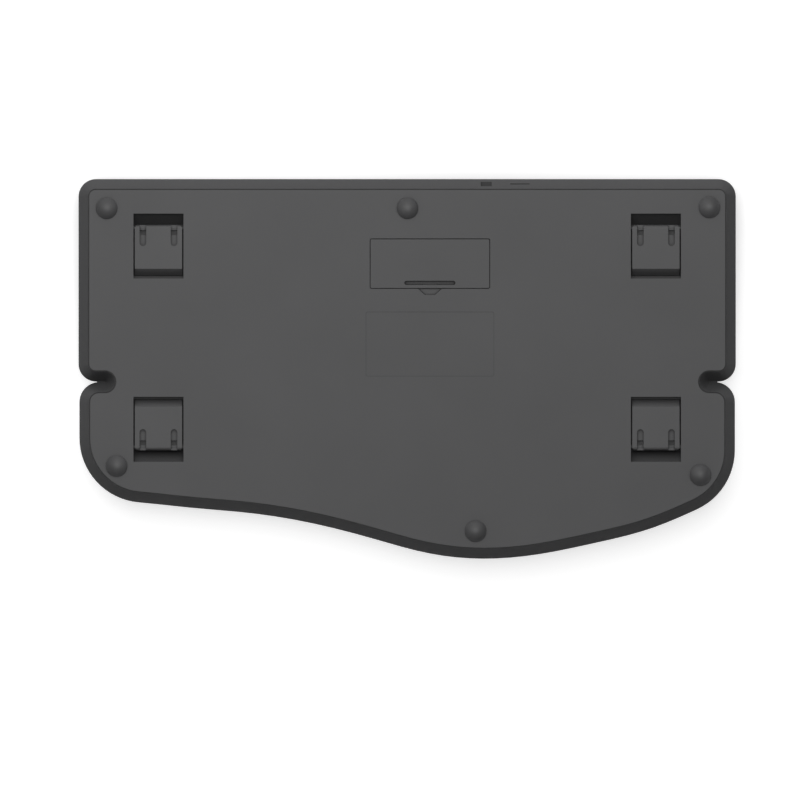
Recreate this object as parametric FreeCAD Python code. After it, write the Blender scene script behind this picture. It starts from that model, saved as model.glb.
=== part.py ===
import FreeCAD, Part
import math
import os

# Compact wave-shaped ergonomic keyboard with a joined palm rest.
# Millimetres. +X is the typist's right, +Y the rear, +Z up.
# The origin lies under the middle of the body, on the surface that the feet stand on.

V = FreeCAD.Vector

# Key field, which sets the size of the body
KEY_PITCH = 19.0
FUNCTION_PITCH = 14.0
MAIN_COLUMNS = 15
NUMBER_COLUMNS = 4
NUMBER_GAP = 3.0
SIDE_MARGIN = 6.0
FRONT_MARGIN = 3.8
REAR_MARGIN = 3.2

# Body in plan
PALM_DEPTH = 101.2
PALM_SHY = 0.5
REAR_CORNER_R = 10.0
KEY_HALF_CORNER_R = 10.0
PALM_CORNER_R = 11.4

# Side clefts between the key half and the palm rest, with a web across their inner end
CLEFT_GAP = 0.3
CLEFT_REACH = 15.3
CLEFT_WEB = 4.8

# Front edge of the palm rest: round ends, and between them, right to left, points given as a share
# of the half width and a height above the foremost point
FRONT_RIGHT_R = 37.0
FRONT_RIGHT_HEIGHT = 69.1
FRONT_RIGHT_TURN = 85.0
FRONT_LEFT_R = 37.3
FRONT_LEFT_HEIGHT = 62.1
FRONT_LEFT_TURN = 65.0
FRONT_WAVE = [(0.662, 29.2), (0.479, 26.1), (0.295, 20.5), (0.112, 11.9), (-0.071, 2.9), (-0.231, 0.0),
              (-0.393, 2.3), (-0.576, 9.1), (-0.759, 18.3)]

# Heights and walls
FOOT_DROP = 2.5
FLOOR = 2.0
BAND_INSET = 5.8
BAND_RISE = 7.0
LIP_RISE = 2.0
WALL = 2.2
ROOF = 2.0
GROOVE_WIDTH = 0.6
GROOVE_DEPTH = 0.5

# Wave of the key field
WAVE_X = -43.4
WAVE_RISE = 5.0
SMILE_DEPTH = 12.0
SIDE_RIM_Z = 15.6
KEY_SLOPE = 2.5
RIM_ROUND = 1.5

# Keys
FIELD_CLEAR = 0.6
KEY_GAP = 1.4
CAP_HEIGHT = 4.4
CAP_TAPER = 1.4
CAP_WALL = 1.2
CAP_CORNER_R = 1.6
SKIRT_LIFT = 1.0
DISH_DEPTH = 0.5
KEY_TRAVEL = 2.6

# Guides, domes and sheets under the keys
PLUNGER = 5.6
GUIDE_GAP = 0.15
GUIDE_WALL = 1.0
GUIDE_RISE = 0.5
DECK = 1.0
DECK_GAP = 0.3
DOME_SHEET = 0.3
DOME_R = 2.5
DOME_TIP_R = 1.5
DOME_REST_GAP = 0.05
PLUNGER_CLEAR = 0.45
MEMBRANE = 0.3
BACKING = 0.6
SHEET_MARGIN = 6.5

# Palm rest
PALM_STEP = 1.5
PALM_EDGE_Z = 16.0
PAD_SINK = 3.0
PAD_INSET = 4.0
PALM_SHELL = 2.2
# Sections of its crown, as shares of the way from the wave's crest past each side, and along each one
# the share of the run from rear to front with the share of the fall
CROWN_LEFT = (1.0, 0.72, 0.41)
CROWN_RIGHT = (0.28, 0.56, 0.82, 1.0)
CROWN_SIDE_OVERRUN = 17.5
CROWN_FALL = [(0.10, 0.0), (0.45, 0.12), (0.80, 0.55), (1.0, 1.0)]
CROWN_OVERRUN = 13.0

# Tilt legs and their pockets: middle from the side, hinges from the rear edge and from the cleft
LEG_INSET = 45.9
REAR_HINGE_INSET = 28.3
FRONT_HINGE_INSET = 37.3
LEG_WIDTH = 27.0
LEG_REACH = 27.0
LEG_THICK = 3.6
LEG_BEVEL = 3.9
LEG_BEVEL_RISE = 3.1
LEG_SKIN = 1.4
LEG_WALL = 1.6
LEG_RIB = 0.7
SHOULDER = (1.4, 1.7)
LEG_SIDE_GAP = 0.8
LEG_TIP_GAP = 1.7
LEG_FLUSH = 0.2
HINGE_R = 2.1
HEEL_GAP = 8.4
HEEL_RAMP_LOW = 2.2
TIP_LEDGE_GAP = 0.35
POCKET_DEPTH = 7.8
POCKET_WALL = 1.8
TRUNNION_R = 1.2
TRUNNION_BITE = 1.4
TRUNNION_GAP = 0.05
SLOT_WIDTH = 3.8
SLOT_LENGTH = 12.3
SLOT_DEPTH = 1.0
SLOT_OFFSET = 8.9
SLOT_WINDOW = (1.0, 3.8)
SLOT_WINDOW_DEPTH = 2.4

# Battery bay and cover
COVER_X = -13.0
COVER_INSET = 48.5
COVER_WIDTH = 68.8
COVER_DEPTH = 28.8
COVER_THICK = 1.8
COVER_GAP = 0.5
COVER_CORNER_R = 1.2
COVER_LEDGE = 2.0
LEDGE_THICK = 1.2
GRIP_LENGTH = 29.2
GRIP_WIDTH = 2.4
GRIP_DEPTH = 1.0
GRIP_UP = 3.4
NOTCH_WIDTH = 14.0
NOTCH_TIP = 6.0
NOTCH_LENGTH = 3.5
NOTCH_DEPTH = 0.6
NOTCH_FLANK = 0.8
TAB_WIDTH = 8.0
TAB_THICK = 0.9
TAB_HEIGHT = 4.0
TAB_GAP = 0.2
TABS = [(-20.0, 1), (0.0, -1), (10.0, 1)]
CELL_R = 5.25
CELL_LENGTH = 44.5
CELL_NUB_R = 1.9
CELL_NUB = 0.8
CELL_GAP = 0.8
CELL_LIFT = 0.4
CONTACT_THICK = 0.4
SPRING_LENGTH = 2.6
BAY_WALL = 1.2
BAY_ROOM = 0.2
RECEIVER = (14.2, 18.6, 6.0)
RECEIVER_LIFT = 0.4

# Feet, from the nearer side and the rear edge, the cleft or the front, and screws
REAR_RIGHT_FOOT = (16.3, 16.9)
REAR_MIDDLE_FOOT = (-0.2, 16.9)
REAR_LEFT_FOOT = (15.3, 16.4)
PALM_RIGHT_FOOT = (22.0, 48.2)
PALM_LEFT_FOOT = (20.4, 53.3)
FRONT_FOOT = (-39.1, 15.8)
FOOT_R = 6.2
FOOT_FLAT_R = 2.2
FOOT_SEAT = 0.6
SCREW_FEET = [0, 2, 3, 4, 5]
SCREW_R = 1.4
SCREW_HEAD_R = 2.7
SCREW_HEAD = 1.4
SCREW_BITE = 5.0
BOSS_R = 3.2
BOSS_TOP_Z = 8.0

# Switch window and mark in the rear band
SWITCH_X = -45.2
WINDOW_WIDTH = 6.3
WINDOW_LOW = 4.5
WINDOW_HEIGHT = 3.0
KNOB_WIDTH = 2.8
KNOB_HEIGHT = 1.8
KNOB_LENGTH = 9.0
KNOB_GAP = 0.2
KNOB_GROOVES = (-0.7, 0.0, 0.7)
KNOB_GROOVE = 0.4
KNOB_SINK = 4.0
SWITCH_TRAVEL = 2.8
MARK_SHIFT = 19.2
MARK_LENGTH = 11.1
MARK_WIDTH = 0.8
MARK_DEPTH = 0.4

# Label recess in the panel
LABEL_SIZE = (73.3, 36.9)
LABEL_GAP = 13.1
LABEL_SINK = 0.12
LABEL_CORNER_R = 1.0

# Circuit board and lights
BOARD_SHIFT = 22.8
BOARD_INSET = 20.6
BOARD_SIZE = (66.0, 20.0, 1.2)
BOARD_Z = 8.2
BOARD_POST_R = 2.0
BOARD_POST_INSET = 3.0
# Plan corners from the board's centre, and height: controller, radio shield, flex connector
BOARD_PARTS = [(-8.0, -5.0, 0.0, 3.0, 1.0), (-28.0, -6.0, -14.0, 6.0, 1.6), (6.0, -9.0, 22.0, -5.0, 2.2)]
SWITCH_BODY = (9.0, 5.5)
SWITCH_BODY_INSET = 11.1
LIGHT_PITCH = 6.0
LIGHT_R = 0.9
LIGHT_INSET = 8.0
LIGHT_COUNT = 3

FIELD_WIDTH = (MAIN_COLUMNS + NUMBER_COLUMNS) * KEY_PITCH + NUMBER_GAP
KEY_HALF_DEPTH = FRONT_MARGIN + 5 * KEY_PITCH + FUNCTION_PITCH + REAR_MARGIN
HALF_WIDTH = FIELD_WIDTH / 2 + SIDE_MARGIN
HALF_PALM = HALF_WIDTH - PALM_SHY
REAR_Y = (KEY_HALF_DEPTH + PALM_DEPTH) / 2
CLEFT_Y = REAR_Y - KEY_HALF_DEPTH
CLEFT_END_X = HALF_WIDTH - CLEFT_REACH
WAVE_HALF = CLEFT_END_X + WAVE_X
WAVE_RIGHT = WAVE_X + WAVE_HALF
SLOPE = math.tan(math.radians(KEY_SLOPE))
PANEL_Z = FOOT_DROP
FLOOR_Z = PANEL_Z + FLOOR
BAND_TOP_Z = PANEL_Z + BAND_RISE
PARTING_Z = BAND_TOP_Z + LIP_RISE
SKY = 60.0
FIELD_LEFT = -FIELD_WIDTH / 2
FIELD_RIGHT = FIELD_LEFT + MAIN_COLUMNS * KEY_PITCH
FIELD_FRONT = CLEFT_Y + FRONT_MARGIN
FIELD_REAR = REAR_Y - REAR_MARGIN
NUMBER_LEFT = FIELD_RIGHT + NUMBER_GAP
NUMBER_RIGHT = NUMBER_LEFT + NUMBER_COLUMNS * KEY_PITCH
STACK_TOP = -ROOF - DECK
PLUNGER_FOOT = STACK_TOP - DOME_SHEET + KEY_TRAVEL + PLUNGER_CLEAR
LEG_X = HALF_WIDTH - LEG_INSET
REAR_HINGE_Y = REAR_Y - REAR_HINGE_INSET
FRONT_HINGE_Y = CLEFT_Y - FRONT_HINGE_INSET
HINGE_Z = PANEL_Z + LEG_FLUSH + HINGE_R
COVER_Y = REAR_Y - COVER_INSET
COVER_TOP = PANEL_Z + COVER_THICK
FEET = [(HALF_WIDTH - REAR_RIGHT_FOOT[0], REAR_Y - REAR_RIGHT_FOOT[1]),
        (REAR_MIDDLE_FOOT[0], REAR_Y - REAR_MIDDLE_FOOT[1]),
        (REAR_LEFT_FOOT[0] - HALF_WIDTH, REAR_Y - REAR_LEFT_FOOT[1]),
        (HALF_WIDTH - PALM_RIGHT_FOOT[0], CLEFT_Y - PALM_RIGHT_FOOT[1]),
        (FRONT_FOOT[0], FRONT_FOOT[1] - REAR_Y),
        (PALM_LEFT_FOOT[0] - HALF_WIDTH, CLEFT_Y - PALM_LEFT_FOOT[1])]
SCREW_TOP_Z = BOSS_TOP_Z + SCREW_BITE
KNOB_TIP_Y = REAR_Y - KNOB_SINK
MARK_X = SWITCH_X - MARK_SHIFT
BOARD_CENTRE = (SWITCH_X - BOARD_SHIFT, REAR_Y - BOARD_INSET)
SWITCH_BODY_Y = REAR_Y - SWITCH_BODY_INSET
LIGHT_Y = REAR_Y - LIGHT_INSET


def keys_of(node, count):
    return [(node, 1.0)] * count


# Rows of the main field, front to rear: node and width in key pitches
MAIN_ROWS = [
    [("left_ctrl_key", 1.25), ("meta_key", 1.25), ("left_alt_key", 1.25), ("space_bar", 5.75),
     ("right_alt_key", 1.25), ("right_ctrl_key", 1.25), ("left_arrow_key", 1.0),
     ("down_arrow_key", 1.0), ("right_arrow_key", 1.0)],
    [("left_shift_key", 2.25)] + keys_of("low_letter_keys_left", 5) + keys_of("low_letter_keys_right", 5)
    + [("right_shift_key", 1.75), ("up_arrow_key", 1.0)],
    [("caps_lock_key", 1.75)] + keys_of("home_letter_keys_left", 5) + keys_of("home_letter_keys_right", 6)
    + [("enter_key", 2.25)],
    [("tab_key", 1.5)] + keys_of("top_letter_keys_left", 5) + keys_of("top_letter_keys_right", 7)
    + [("backslash_key", 1.5)],
    keys_of("number_keys_left", 6) + keys_of("number_keys_right", 7) + [("backspace_key", 2.0)],
    [("escape_key", 1.0)] + keys_of("function_keys_left", 6) + keys_of("function_keys_right", 6)
    + [("insert_key", 1.0), ("delete_key", 1.0)],
]

# Number block: node, first column, first row, width and depth in pitches
NUMBER_KEYS = [("num_zero_key", 0, 0, 2, 1), ("number_pad_digits", 2, 0, 1, 1), ("num_enter_key", 3, 0, 1, 2),
               ("num_plus_key", 3, 2, 1, 2)]
NUMBER_KEYS += [("number_pad_digits", column, row, 1, 1) for row in (1, 2, 3) for column in (0, 1, 2)]
NUMBER_KEYS += [("number_pad_operators", column, 4, 1, 1) for column in range(4)]
NUMBER_KEYS += [("navigation_keys", column, 5, 1, 1) for column in range(4)]


def bump(x):
    """Swell of the wave across the body: 1 at its crest, 0 at its ends and past them."""
    share = (x - WAVE_X) / WAVE_HALF
    return math.cos(share * math.pi / 2) ** 2 if abs(share) < 1 else 0.0


def bump_slope(x):
    share = (x - WAVE_X) / WAVE_HALF
    return -math.pi / 2 / WAVE_HALF * math.sin(share * math.pi) if abs(share) < 1 else 0.0


def smile(x):
    """How far the rows and the seam dip towards the typist."""
    return -SMILE_DEPTH * bump(x)


def rim_z(x, y):
    """Height of the top case's rim."""
    return SIDE_RIM_Z + WAVE_RISE * bump(x) + (y - CLEFT_Y) * SLOPE


def spread(first, last, spans):
    return [first + (last - first) * i / spans for i in range(spans + 1)]


def line(a, b):
    return Part.LineSegment(V(*a), V(*b)).toShape()


def spline(points, start, end):
    curve = Part.BSplineCurve()
    curve.interpolate(Points=[V(*p) for p in points], InitialTangent=V(*start), FinalTangent=V(*end))
    return curve


def prism(wire, low, high):
    face = Part.Face(wire)
    face.translate(V(0, 0, low))
    return face.extrude(V(0, 0, high - low))


def box(x0, y0, z0, x1, y1, z1):
    return Part.makeBox(x1 - x0, y1 - y0, z1 - z0, V(x0, y0, z0))


def rounded_rectangle(x0, y0, x1, y1, radius, z=0.0):
    """Wire of a rectangle with round corners."""
    middle = radius * (1 - math.sqrt(0.5))
    edges = [line((x0 + radius, y0, z), (x1 - radius, y0, z)),
             Part.Arc(V(x1 - radius, y0, z), V(x1 - middle, y0 + middle, z), V(x1, y0 + radius, z)).toShape(),
             line((x1, y0 + radius, z), (x1, y1 - radius, z)),
             Part.Arc(V(x1, y1 - radius, z), V(x1 - middle, y1 - middle, z), V(x1 - radius, y1, z)).toShape(),
             line((x1 - radius, y1, z), (x0 + radius, y1, z)),
             Part.Arc(V(x0 + radius, y1, z), V(x0 + middle, y1 - middle, z), V(x0, y1 - radius, z)).toShape(),
             line((x0, y1 - radius, z), (x0, y0 + radius, z)),
             Part.Arc(V(x0, y0 + radius, z), V(x0 + middle, y0 + middle, z), V(x0 + radius, y0, z)).toShape()]
    return Part.Wire(edges)


def corner(side, centre, radius, first, last):
    """Arc about a centre between two angles, mirrored for the left side."""
    points = []
    for angle in spread(math.radians(first), math.radians(last), 2):
        points.append(V(side * (centre[0] + radius * math.cos(angle)), centre[1] + radius * math.sin(angle), 0))
    return Part.Arc(*points).toShape()


def key_half_side(side, inset):
    """Rear corner, side wall and cleft corner of the key half, rear to front."""
    rear_centre = (HALF_WIDTH - REAR_CORNER_R, REAR_Y - REAR_CORNER_R)
    cleft_y = CLEFT_Y + CLEFT_GAP / 2
    cleft_centre = (HALF_WIDTH - KEY_HALF_CORNER_R, cleft_y + KEY_HALF_CORNER_R)
    x = side * (HALF_WIDTH - inset)
    return [corner(side, rear_centre, REAR_CORNER_R - inset, 90, 0),
            line((x, rear_centre[1], 0), (x, cleft_centre[1], 0)),
            corner(side, cleft_centre, KEY_HALF_CORNER_R - inset, 0, -90),
            line((side * cleft_centre[0], cleft_y + inset, 0), (side * CLEFT_END_X, cleft_y + inset, 0))]


def palm_side(side, inset):
    """Cleft corner and side wall of the palm rest, rear to front."""
    cleft_y = CLEFT_Y - CLEFT_GAP / 2
    centre = (HALF_PALM - PALM_CORNER_R, cleft_y - PALM_CORNER_R)
    front_height = FRONT_RIGHT_HEIGHT if side > 0 else FRONT_LEFT_HEIGHT
    x = side * (HALF_PALM - inset)
    return [line((side * CLEFT_END_X, cleft_y - inset, 0), (side * centre[0], cleft_y - inset, 0)),
            corner(side, centre, PALM_CORNER_R - inset, 90, 0),
            line((x, centre[1], 0), (x, front_height - REAR_Y, 0))]


def front_end(side, inset):
    """Round end of the front edge, with its inner end and the direction there, both towards the left."""
    radius, height, turn = ((FRONT_RIGHT_R, FRONT_RIGHT_HEIGHT, FRONT_RIGHT_TURN) if side > 0 else
                            (FRONT_LEFT_R, FRONT_LEFT_HEIGHT, FRONT_LEFT_TURN))
    centre = (HALF_PALM - radius, height - REAR_Y)
    angle = math.radians(turn)
    end = (side * (centre[0] + (radius - inset) * math.cos(angle)), centre[1] - (radius - inset) * math.sin(angle), 0)
    return corner(side, centre, radius - inset, 0, -turn), end, (-math.sin(angle), -side * math.cos(angle), 0)


def front_edges(inset):
    """Front edge, right to left, moved inwards along its own normals."""
    right, first, start = front_end(1, 0)
    left, last, finish = front_end(-1, 0)
    points = [first] + [(share * HALF_PALM, height - REAR_Y, 0) for share, height in FRONT_WAVE] + [last]
    wave = spline(points, start, finish)
    if inset:
        moved = []
        for point in points:
            along = wave.tangent(wave.parameter(V(*point)))[0]
            moved.append((point[0] + along.y * inset, point[1] - along.x * inset, 0))
        right, left = front_end(1, inset)[0], front_end(-1, inset)[0]
        wave = spline(moved, start, finish)
    return [right, wave.toShape(), left]


def seam(shift):
    """Curve between the key half and the palm rest, right to left."""
    y = CLEFT_Y + shift
    points = [(x, y + smile(x), 0) for x in spread(WAVE_RIGHT, -CLEFT_END_X, 10)]
    return [line((CLEFT_END_X, y, 0), (WAVE_RIGHT, y, 0)), spline(points, (-1, 0, 0), (-1, 0, 0)).toShape()]


def rear_edge(inset):
    x = HALF_WIDTH - REAR_CORNER_R
    return line((-x, REAR_Y - inset, 0), (x, REAR_Y - inset, 0))


def joined(edges):
    return Part.Wire(Part.__sortEdges__(edges))


def key_half_outline(inset=0.0):
    edges = [rear_edge(inset)] + key_half_side(1, inset) + seam(CLEFT_GAP / 2 + inset)
    return joined(edges + key_half_side(-1, inset)[::-1])


def palm_outline(inset=0.0):
    edges = palm_side(1, inset) + front_edges(inset) + palm_side(-1, inset)[::-1]
    return joined(edges + seam(-CLEFT_GAP / 2 - inset)[::-1])


def body_outline(inset, z):
    """Outline of the whole body with both clefts, at a height."""
    radius = CLEFT_GAP / 2 + inset
    edges = [rear_edge(inset)]
    edges += key_half_side(1, inset) + [corner(1, (CLEFT_END_X, CLEFT_Y), radius, 90, 270)]
    edges += palm_side(1, inset) + front_edges(inset) + palm_side(-1, inset)[::-1]
    edges += [corner(-1, (CLEFT_END_X, CLEFT_Y), radius, 270, 90)] + key_half_side(-1, inset)[::-1]
    wire = joined(edges)
    wire.translate(V(0, 0, z))
    return wire


def wave_profile(y, lift):
    """Edges of a line across the body that follows the rim, left to right."""
    reach = HALF_WIDTH + 20
    flat = rim_z(reach, y) + lift
    crest = [(x, y, rim_z(x, y) + lift) for x in spread(-CLEFT_END_X, WAVE_RIGHT, 10)]
    return [line((-reach, y, flat), crest[0]), spline(crest, (1, 0, 0), (1, 0, 0)).toShape(),
            line(crest[-1], (reach, y, flat))]


def wave_slab(low, high):
    """Everything between two surfaces that follow the rim, given by their heights over it."""
    reach = HALF_WIDTH + 20
    y = -REAR_Y - 20
    under = wave_profile(y, low)
    over = wave_profile(y, high)
    flat = rim_z(reach, y)
    sides = [line((reach, y, flat + low), (reach, y, flat + high)),
             line((-reach, y, flat + low), (-reach, y, flat + high))]
    face = Part.Face(joined(under + over + sides))
    run = 2 * REAR_Y + 40
    return face.extrude(V(0, run, run * SLOPE))


def field_opening(clear):
    """Plan outline of the main key field, which smiles with its rows."""
    left, right = FIELD_LEFT - clear, FIELD_RIGHT + clear
    edges = [line((left, FIELD_FRONT - clear, 0), (left, FIELD_REAR + clear, 0)),
             line((right, FIELD_FRONT - clear, 0), (right, FIELD_REAR + clear, 0))]
    for y in (FIELD_FRONT - clear, FIELD_REAR + clear):
        points = [(x, y + smile(x), 0) for x in spread(-CLEFT_END_X, WAVE_RIGHT, 10)]
        edges += [line((left, y, 0), points[0]), spline(points, (1, 0, 0), (1, 0, 0)).toShape(),
                  line(points[-1], (right, y, 0))]
    return joined(edges)


def light_places():
    middle = (LIGHT_COUNT - 1) / 2
    return [WAVE_X + (i - middle) * LIGHT_PITCH for i in range(LIGHT_COUNT)]


def top_case():
    """Key half's shell: side walls, waved roof and the openings for the keys."""
    shell = prism(key_half_outline(), PARTING_Z, SKY).common(wave_slab(-SKY, 0))
    rim = [e for e in shell.Edges if follows_rim(e, 0)]
    shell = shell.makeFillet(RIM_ROUND, rim)
    hollow = prism(key_half_outline(WALL), PARTING_Z - 1, SKY).common(wave_slab(-SKY, -ROOF))
    number_field = box(NUMBER_LEFT - FIELD_CLEAR, FIELD_FRONT - FIELD_CLEAR, PARTING_Z,
                       NUMBER_RIGHT + FIELD_CLEAR, FIELD_REAR + FIELD_CLEAR, SKY)
    cuts = [hollow, prism(field_opening(FIELD_CLEAR), PARTING_Z, SKY), number_field]
    cuts += [Part.makeCylinder(LIGHT_R, SKY, V(x, LIGHT_Y, 0)) for x in light_places()]
    return shell.cut(cuts)


def follows_rim(edge, lift):
    """Whether an edge lies on the surface a given height over the rim."""
    low, high = edge.ParameterRange
    for share in (0.1, 0.5, 0.9):
        point = edge.valueAt(low + (high - low) * share)
        if abs(point.z - rim_z(point.x, point.y) - lift) > 0.05:
            return False
    return True


def indicator_lenses():
    """Light pipes, flush with the roof and standing on the key deck."""
    pipes = [Part.makeCylinder(LIGHT_R, SKY, V(x, LIGHT_Y, 0)) for x in light_places()]
    slab = wave_slab(-ROOF, 0)
    return Part.makeCompound([pipe.common(slab) for pipe in pipes])


def front_y(x):
    """Front edge of the palm rest, on straight lines between its given points."""
    share = max(FRONT_WAVE[-1][0], min(FRONT_WAVE[0][0], x / HALF_PALM))
    for (s1, h1), (s0, h0) in zip(FRONT_WAVE, FRONT_WAVE[1:]):
        if s0 <= share <= s1:
            return h0 + (h1 - h0) * (share - s0) / (s1 - s0) - REAR_Y


def palm_crown(sink):
    """Solid under the palm rest's crowned surface, lowered by a depth, wider than the palm rest."""
    reach = HALF_PALM + CROWN_SIDE_OVERRUN
    across = [WAVE_X - share * (reach + WAVE_X) for share in CROWN_LEFT] + [WAVE_X]
    across += [WAVE_X + share * (reach - WAVE_X) for share in CROWN_RIGHT]
    sections = []
    for x in across:
        rear = CLEFT_Y + smile(x)
        front = front_y(x)
        top = rim_z(x, rear) + PALM_STEP - sink
        fall = top + sink - PALM_EDGE_Z
        points = [(x, rear + CROWN_OVERRUN, top - 0.6)]
        points += [(x, rear + (front - rear) * run, top - fall * share) for run, share in CROWN_FALL]
        points.append((x, front - CROWN_OVERRUN, top - 1.9 * fall - 1.5))
        ridge = Part.BSplineCurve()
        ridge.interpolate([V(*p) for p in points])
        low_front, low_rear = (x, points[-1][1], -10), (x, points[0][1], -10)
        sections.append(Part.Wire([ridge.toShape(), line(points[-1], low_front), line(low_front, low_rear),
                                   line(low_rear, points[0])]))
    return Part.makeLoft(sections, True, False)


def palm_rest_base():
    """Hard carrier of the pad: a shell with a ledge all round and screw posts."""
    solid = prism(palm_outline(), PARTING_Z, SKY).common(palm_crown(PAD_SINK))
    hollow = prism(palm_outline(PALM_SHELL), PARTING_Z - 1, SKY).common(palm_crown(PAD_SINK + PALM_SHELL))
    shell = solid.cut(hollow)
    posts = [Part.makeCylinder(BOSS_R, SKY, V(*FEET[i], BOSS_TOP_Z)) for i in SCREW_FEET if FEET[i][1] < CLEFT_Y]
    under = palm_crown(PAD_SINK + PALM_SHELL / 2)
    shell = shell.fuse([post.common(under) for post in posts])
    return shell.cut(screw_holes()).removeSplitter()


def palm_rest_pad():
    """Soft crowned pad on the carrier."""
    return prism(palm_outline(PAD_INSET), 0, SKY).common(palm_crown(0)).cut(palm_crown(PAD_SINK))


def leg_places():
    """Name, centre X, hinge Y and which way the heel points, for each leg."""
    return [("leg_rear_left", -LEG_X, REAR_HINGE_Y, 1), ("leg_rear_right", LEG_X, REAR_HINGE_Y, 1),
            ("leg_front_left", -LEG_X, FRONT_HINGE_Y, -1), ("leg_front_right", LEG_X, FRONT_HINGE_Y, -1)]


def placed_leg_shape(shape, x, hinge_y, heel):
    """Moves a shape made for a hinge at the origin to one leg's place, turned for the front legs."""
    shape = shape.copy()
    if heel < 0:
        shape.rotate(V(0, 0, 0), V(0, 0, 1), 180)
    shape.translate(V(x, hinge_y, HINGE_Z))
    return shape


def tilt_leg():
    """Leg with its hinge axis on X through the origin and its body towards -Y."""
    half = LEG_WIDTH / 2
    low, high = -HINGE_R, LEG_THICK - HINGE_R
    flat = LEG_REACH - LEG_BEVEL
    outline = [(0, low), (-flat, low), (-LEG_REACH, low + LEG_BEVEL_RISE), (-LEG_REACH, high), (-HINGE_R, high),
               (0, HINGE_R)]
    edges = [line((-half, *a), (-half, *b)) for a, b in zip(outline, outline[1:])]
    edges.append(Part.Arc(V(-half, 0, HINGE_R), V(-half, HINGE_R, 0), V(-half, 0, -HINGE_R)).toShape())
    body = Part.Face(Part.Wire(edges)).extrude(V(LEG_WIDTH, 0, 0))
    cuts = []
    for side in (-1, 1):
        x0, x1 = sorted((side * LEG_RIB, side * (half - LEG_WALL)))
        cuts.append(box(x0, LEG_WALL - flat, low + LEG_SKIN, x1, -HINGE_R - LEG_WALL, high + 1))
        slot_x = side * SLOT_OFFSET
        radius = SLOT_WIDTH / 2
        end_y = HINGE_R - SLOT_LENGTH + radius
        cuts.append(box(slot_x - radius, end_y, low - 1, slot_x + radius, HINGE_R + 1, low + SLOT_DEPTH))
        cuts.append(Part.makeCylinder(radius, SLOT_DEPTH + 1, V(slot_x, end_y, low - 1)))
        near, far = SLOT_WINDOW
        cuts.append(box(slot_x - radius, -far, low, slot_x + radius, -near, low + SLOT_WINDOW_DEPTH))
        cuts.append(leg_shoulder(side))
    pin_length = LEG_WIDTH + 2 * (LEG_SIDE_GAP + TRUNNION_BITE)
    pins = Part.makeCylinder(TRUNNION_R, pin_length, V(-pin_length / 2, 0, 0), V(1, 0, 0))
    return body.cut(cuts).fuse(pins).removeSplitter()


def leg_shoulder(side):
    """Corner taken off the leg's round end, beside a trunnion."""
    across, along = SHOULDER
    x, y = side * LEG_WIDTH / 2, HINGE_R + 0.1
    plan = Part.makePolygon([V(x, y - along, -9), V(x - side * across, y, -9), V(x, y, -9), V(x, y - along, -9)])
    return Part.Face(plan).extrude(V(0, 0, 18))


def pocket_box(margin, low, high):
    """Plan of a leg's pocket, grown by a margin, between two heights over the hinge."""
    half = LEG_WIDTH / 2 + LEG_SIDE_GAP + margin
    return box(-half, -LEG_REACH - LEG_TIP_GAP - margin, low, half, HEEL_GAP + margin, high)


def pocket_hollow():
    """Space of a leg's pocket: deep round the leg, with a ramp behind its heel and a ledge before its tip."""
    ceiling = PANEL_Z + POCKET_DEPTH - HINGE_Z
    ramp_z = PANEL_Z + HEEL_RAMP_LOW - HINGE_Z
    ledge_z = LEG_BEVEL_RISE - HINGE_R
    half = LEG_WIDTH / 2 + LEG_SIDE_GAP
    ramp = Part.makePolygon([V(-half, HEEL_GAP, ramp_z), V(-half, HINGE_R, ceiling), V(-half, HEEL_GAP, ceiling),
                             V(-half, HEEL_GAP, ramp_z)])
    ledge = box(-half, -LEG_REACH - LEG_TIP_GAP, ledge_z, half, -LEG_REACH - TIP_LEDGE_GAP, ceiling)
    room = pocket_box(0, PANEL_Z - HINGE_Z - 1, ceiling)
    return room.cut([Part.Face(ramp).extrude(V(2 * half, 0, 0)), ledge])


def trunnion_holes():
    reach = LEG_WIDTH / 2 + LEG_SIDE_GAP + TRUNNION_BITE + 0.1
    return Part.makeCylinder(TRUNNION_R + TRUNNION_GAP, 2 * reach, V(-reach, 0, 0), V(1, 0, 0))


def cover_rectangle(grow):
    x, y = COVER_WIDTH / 2 + grow, COVER_DEPTH / 2 + grow
    return (COVER_X - x, COVER_Y - y, COVER_X + x, COVER_Y + y)


def cell_places():
    """Ends in X and the two axes in Y, and the axis height, of the cells."""
    left = cover_rectangle(-COVER_LEDGE)[0] + CONTACT_THICK + SPRING_LENGTH
    gap = CELL_R + CELL_GAP / 2
    return left, (COVER_Y - gap, COVER_Y + gap), COVER_TOP + CELL_LIFT + CELL_R


def bay_spaces():
    """Inside of the cell bay and of the receiver bay."""
    x0, y0, x1, y1 = cover_rectangle(-COVER_LEDGE)
    left, _, axis_z = cell_places()
    cell_end = left + CELL_LENGTH + CELL_NUB + CONTACT_THICK
    cells = box(x0, y0, COVER_TOP, cell_end, y1, axis_z + CELL_R + BAY_ROOM)
    receiver_top = COVER_TOP + RECEIVER_LIFT + RECEIVER[2] + BAY_ROOM
    receiver = box(cell_end + BAY_WALL, y0, COVER_TOP, x1, y1, receiver_top)
    return cells, receiver


def grown(shape, margin):
    b = shape.BoundBox
    return box(b.XMin - margin, b.YMin - margin, b.ZMin - margin, b.XMax + margin, b.YMax + margin, b.ZMax + margin)


def screw_holes():
    return [Part.makeCylinder(SCREW_R, SCREW_TOP_Z - PANEL_Z, V(*FEET[i], PANEL_Z)) for i in SCREW_FEET]


def standing(radius, x, y, top):
    """Post that grows out of the floor."""
    low = FLOOR_Z - FLOOR / 2
    return Part.makeCylinder(radius, top - low, V(x, y, low))


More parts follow.
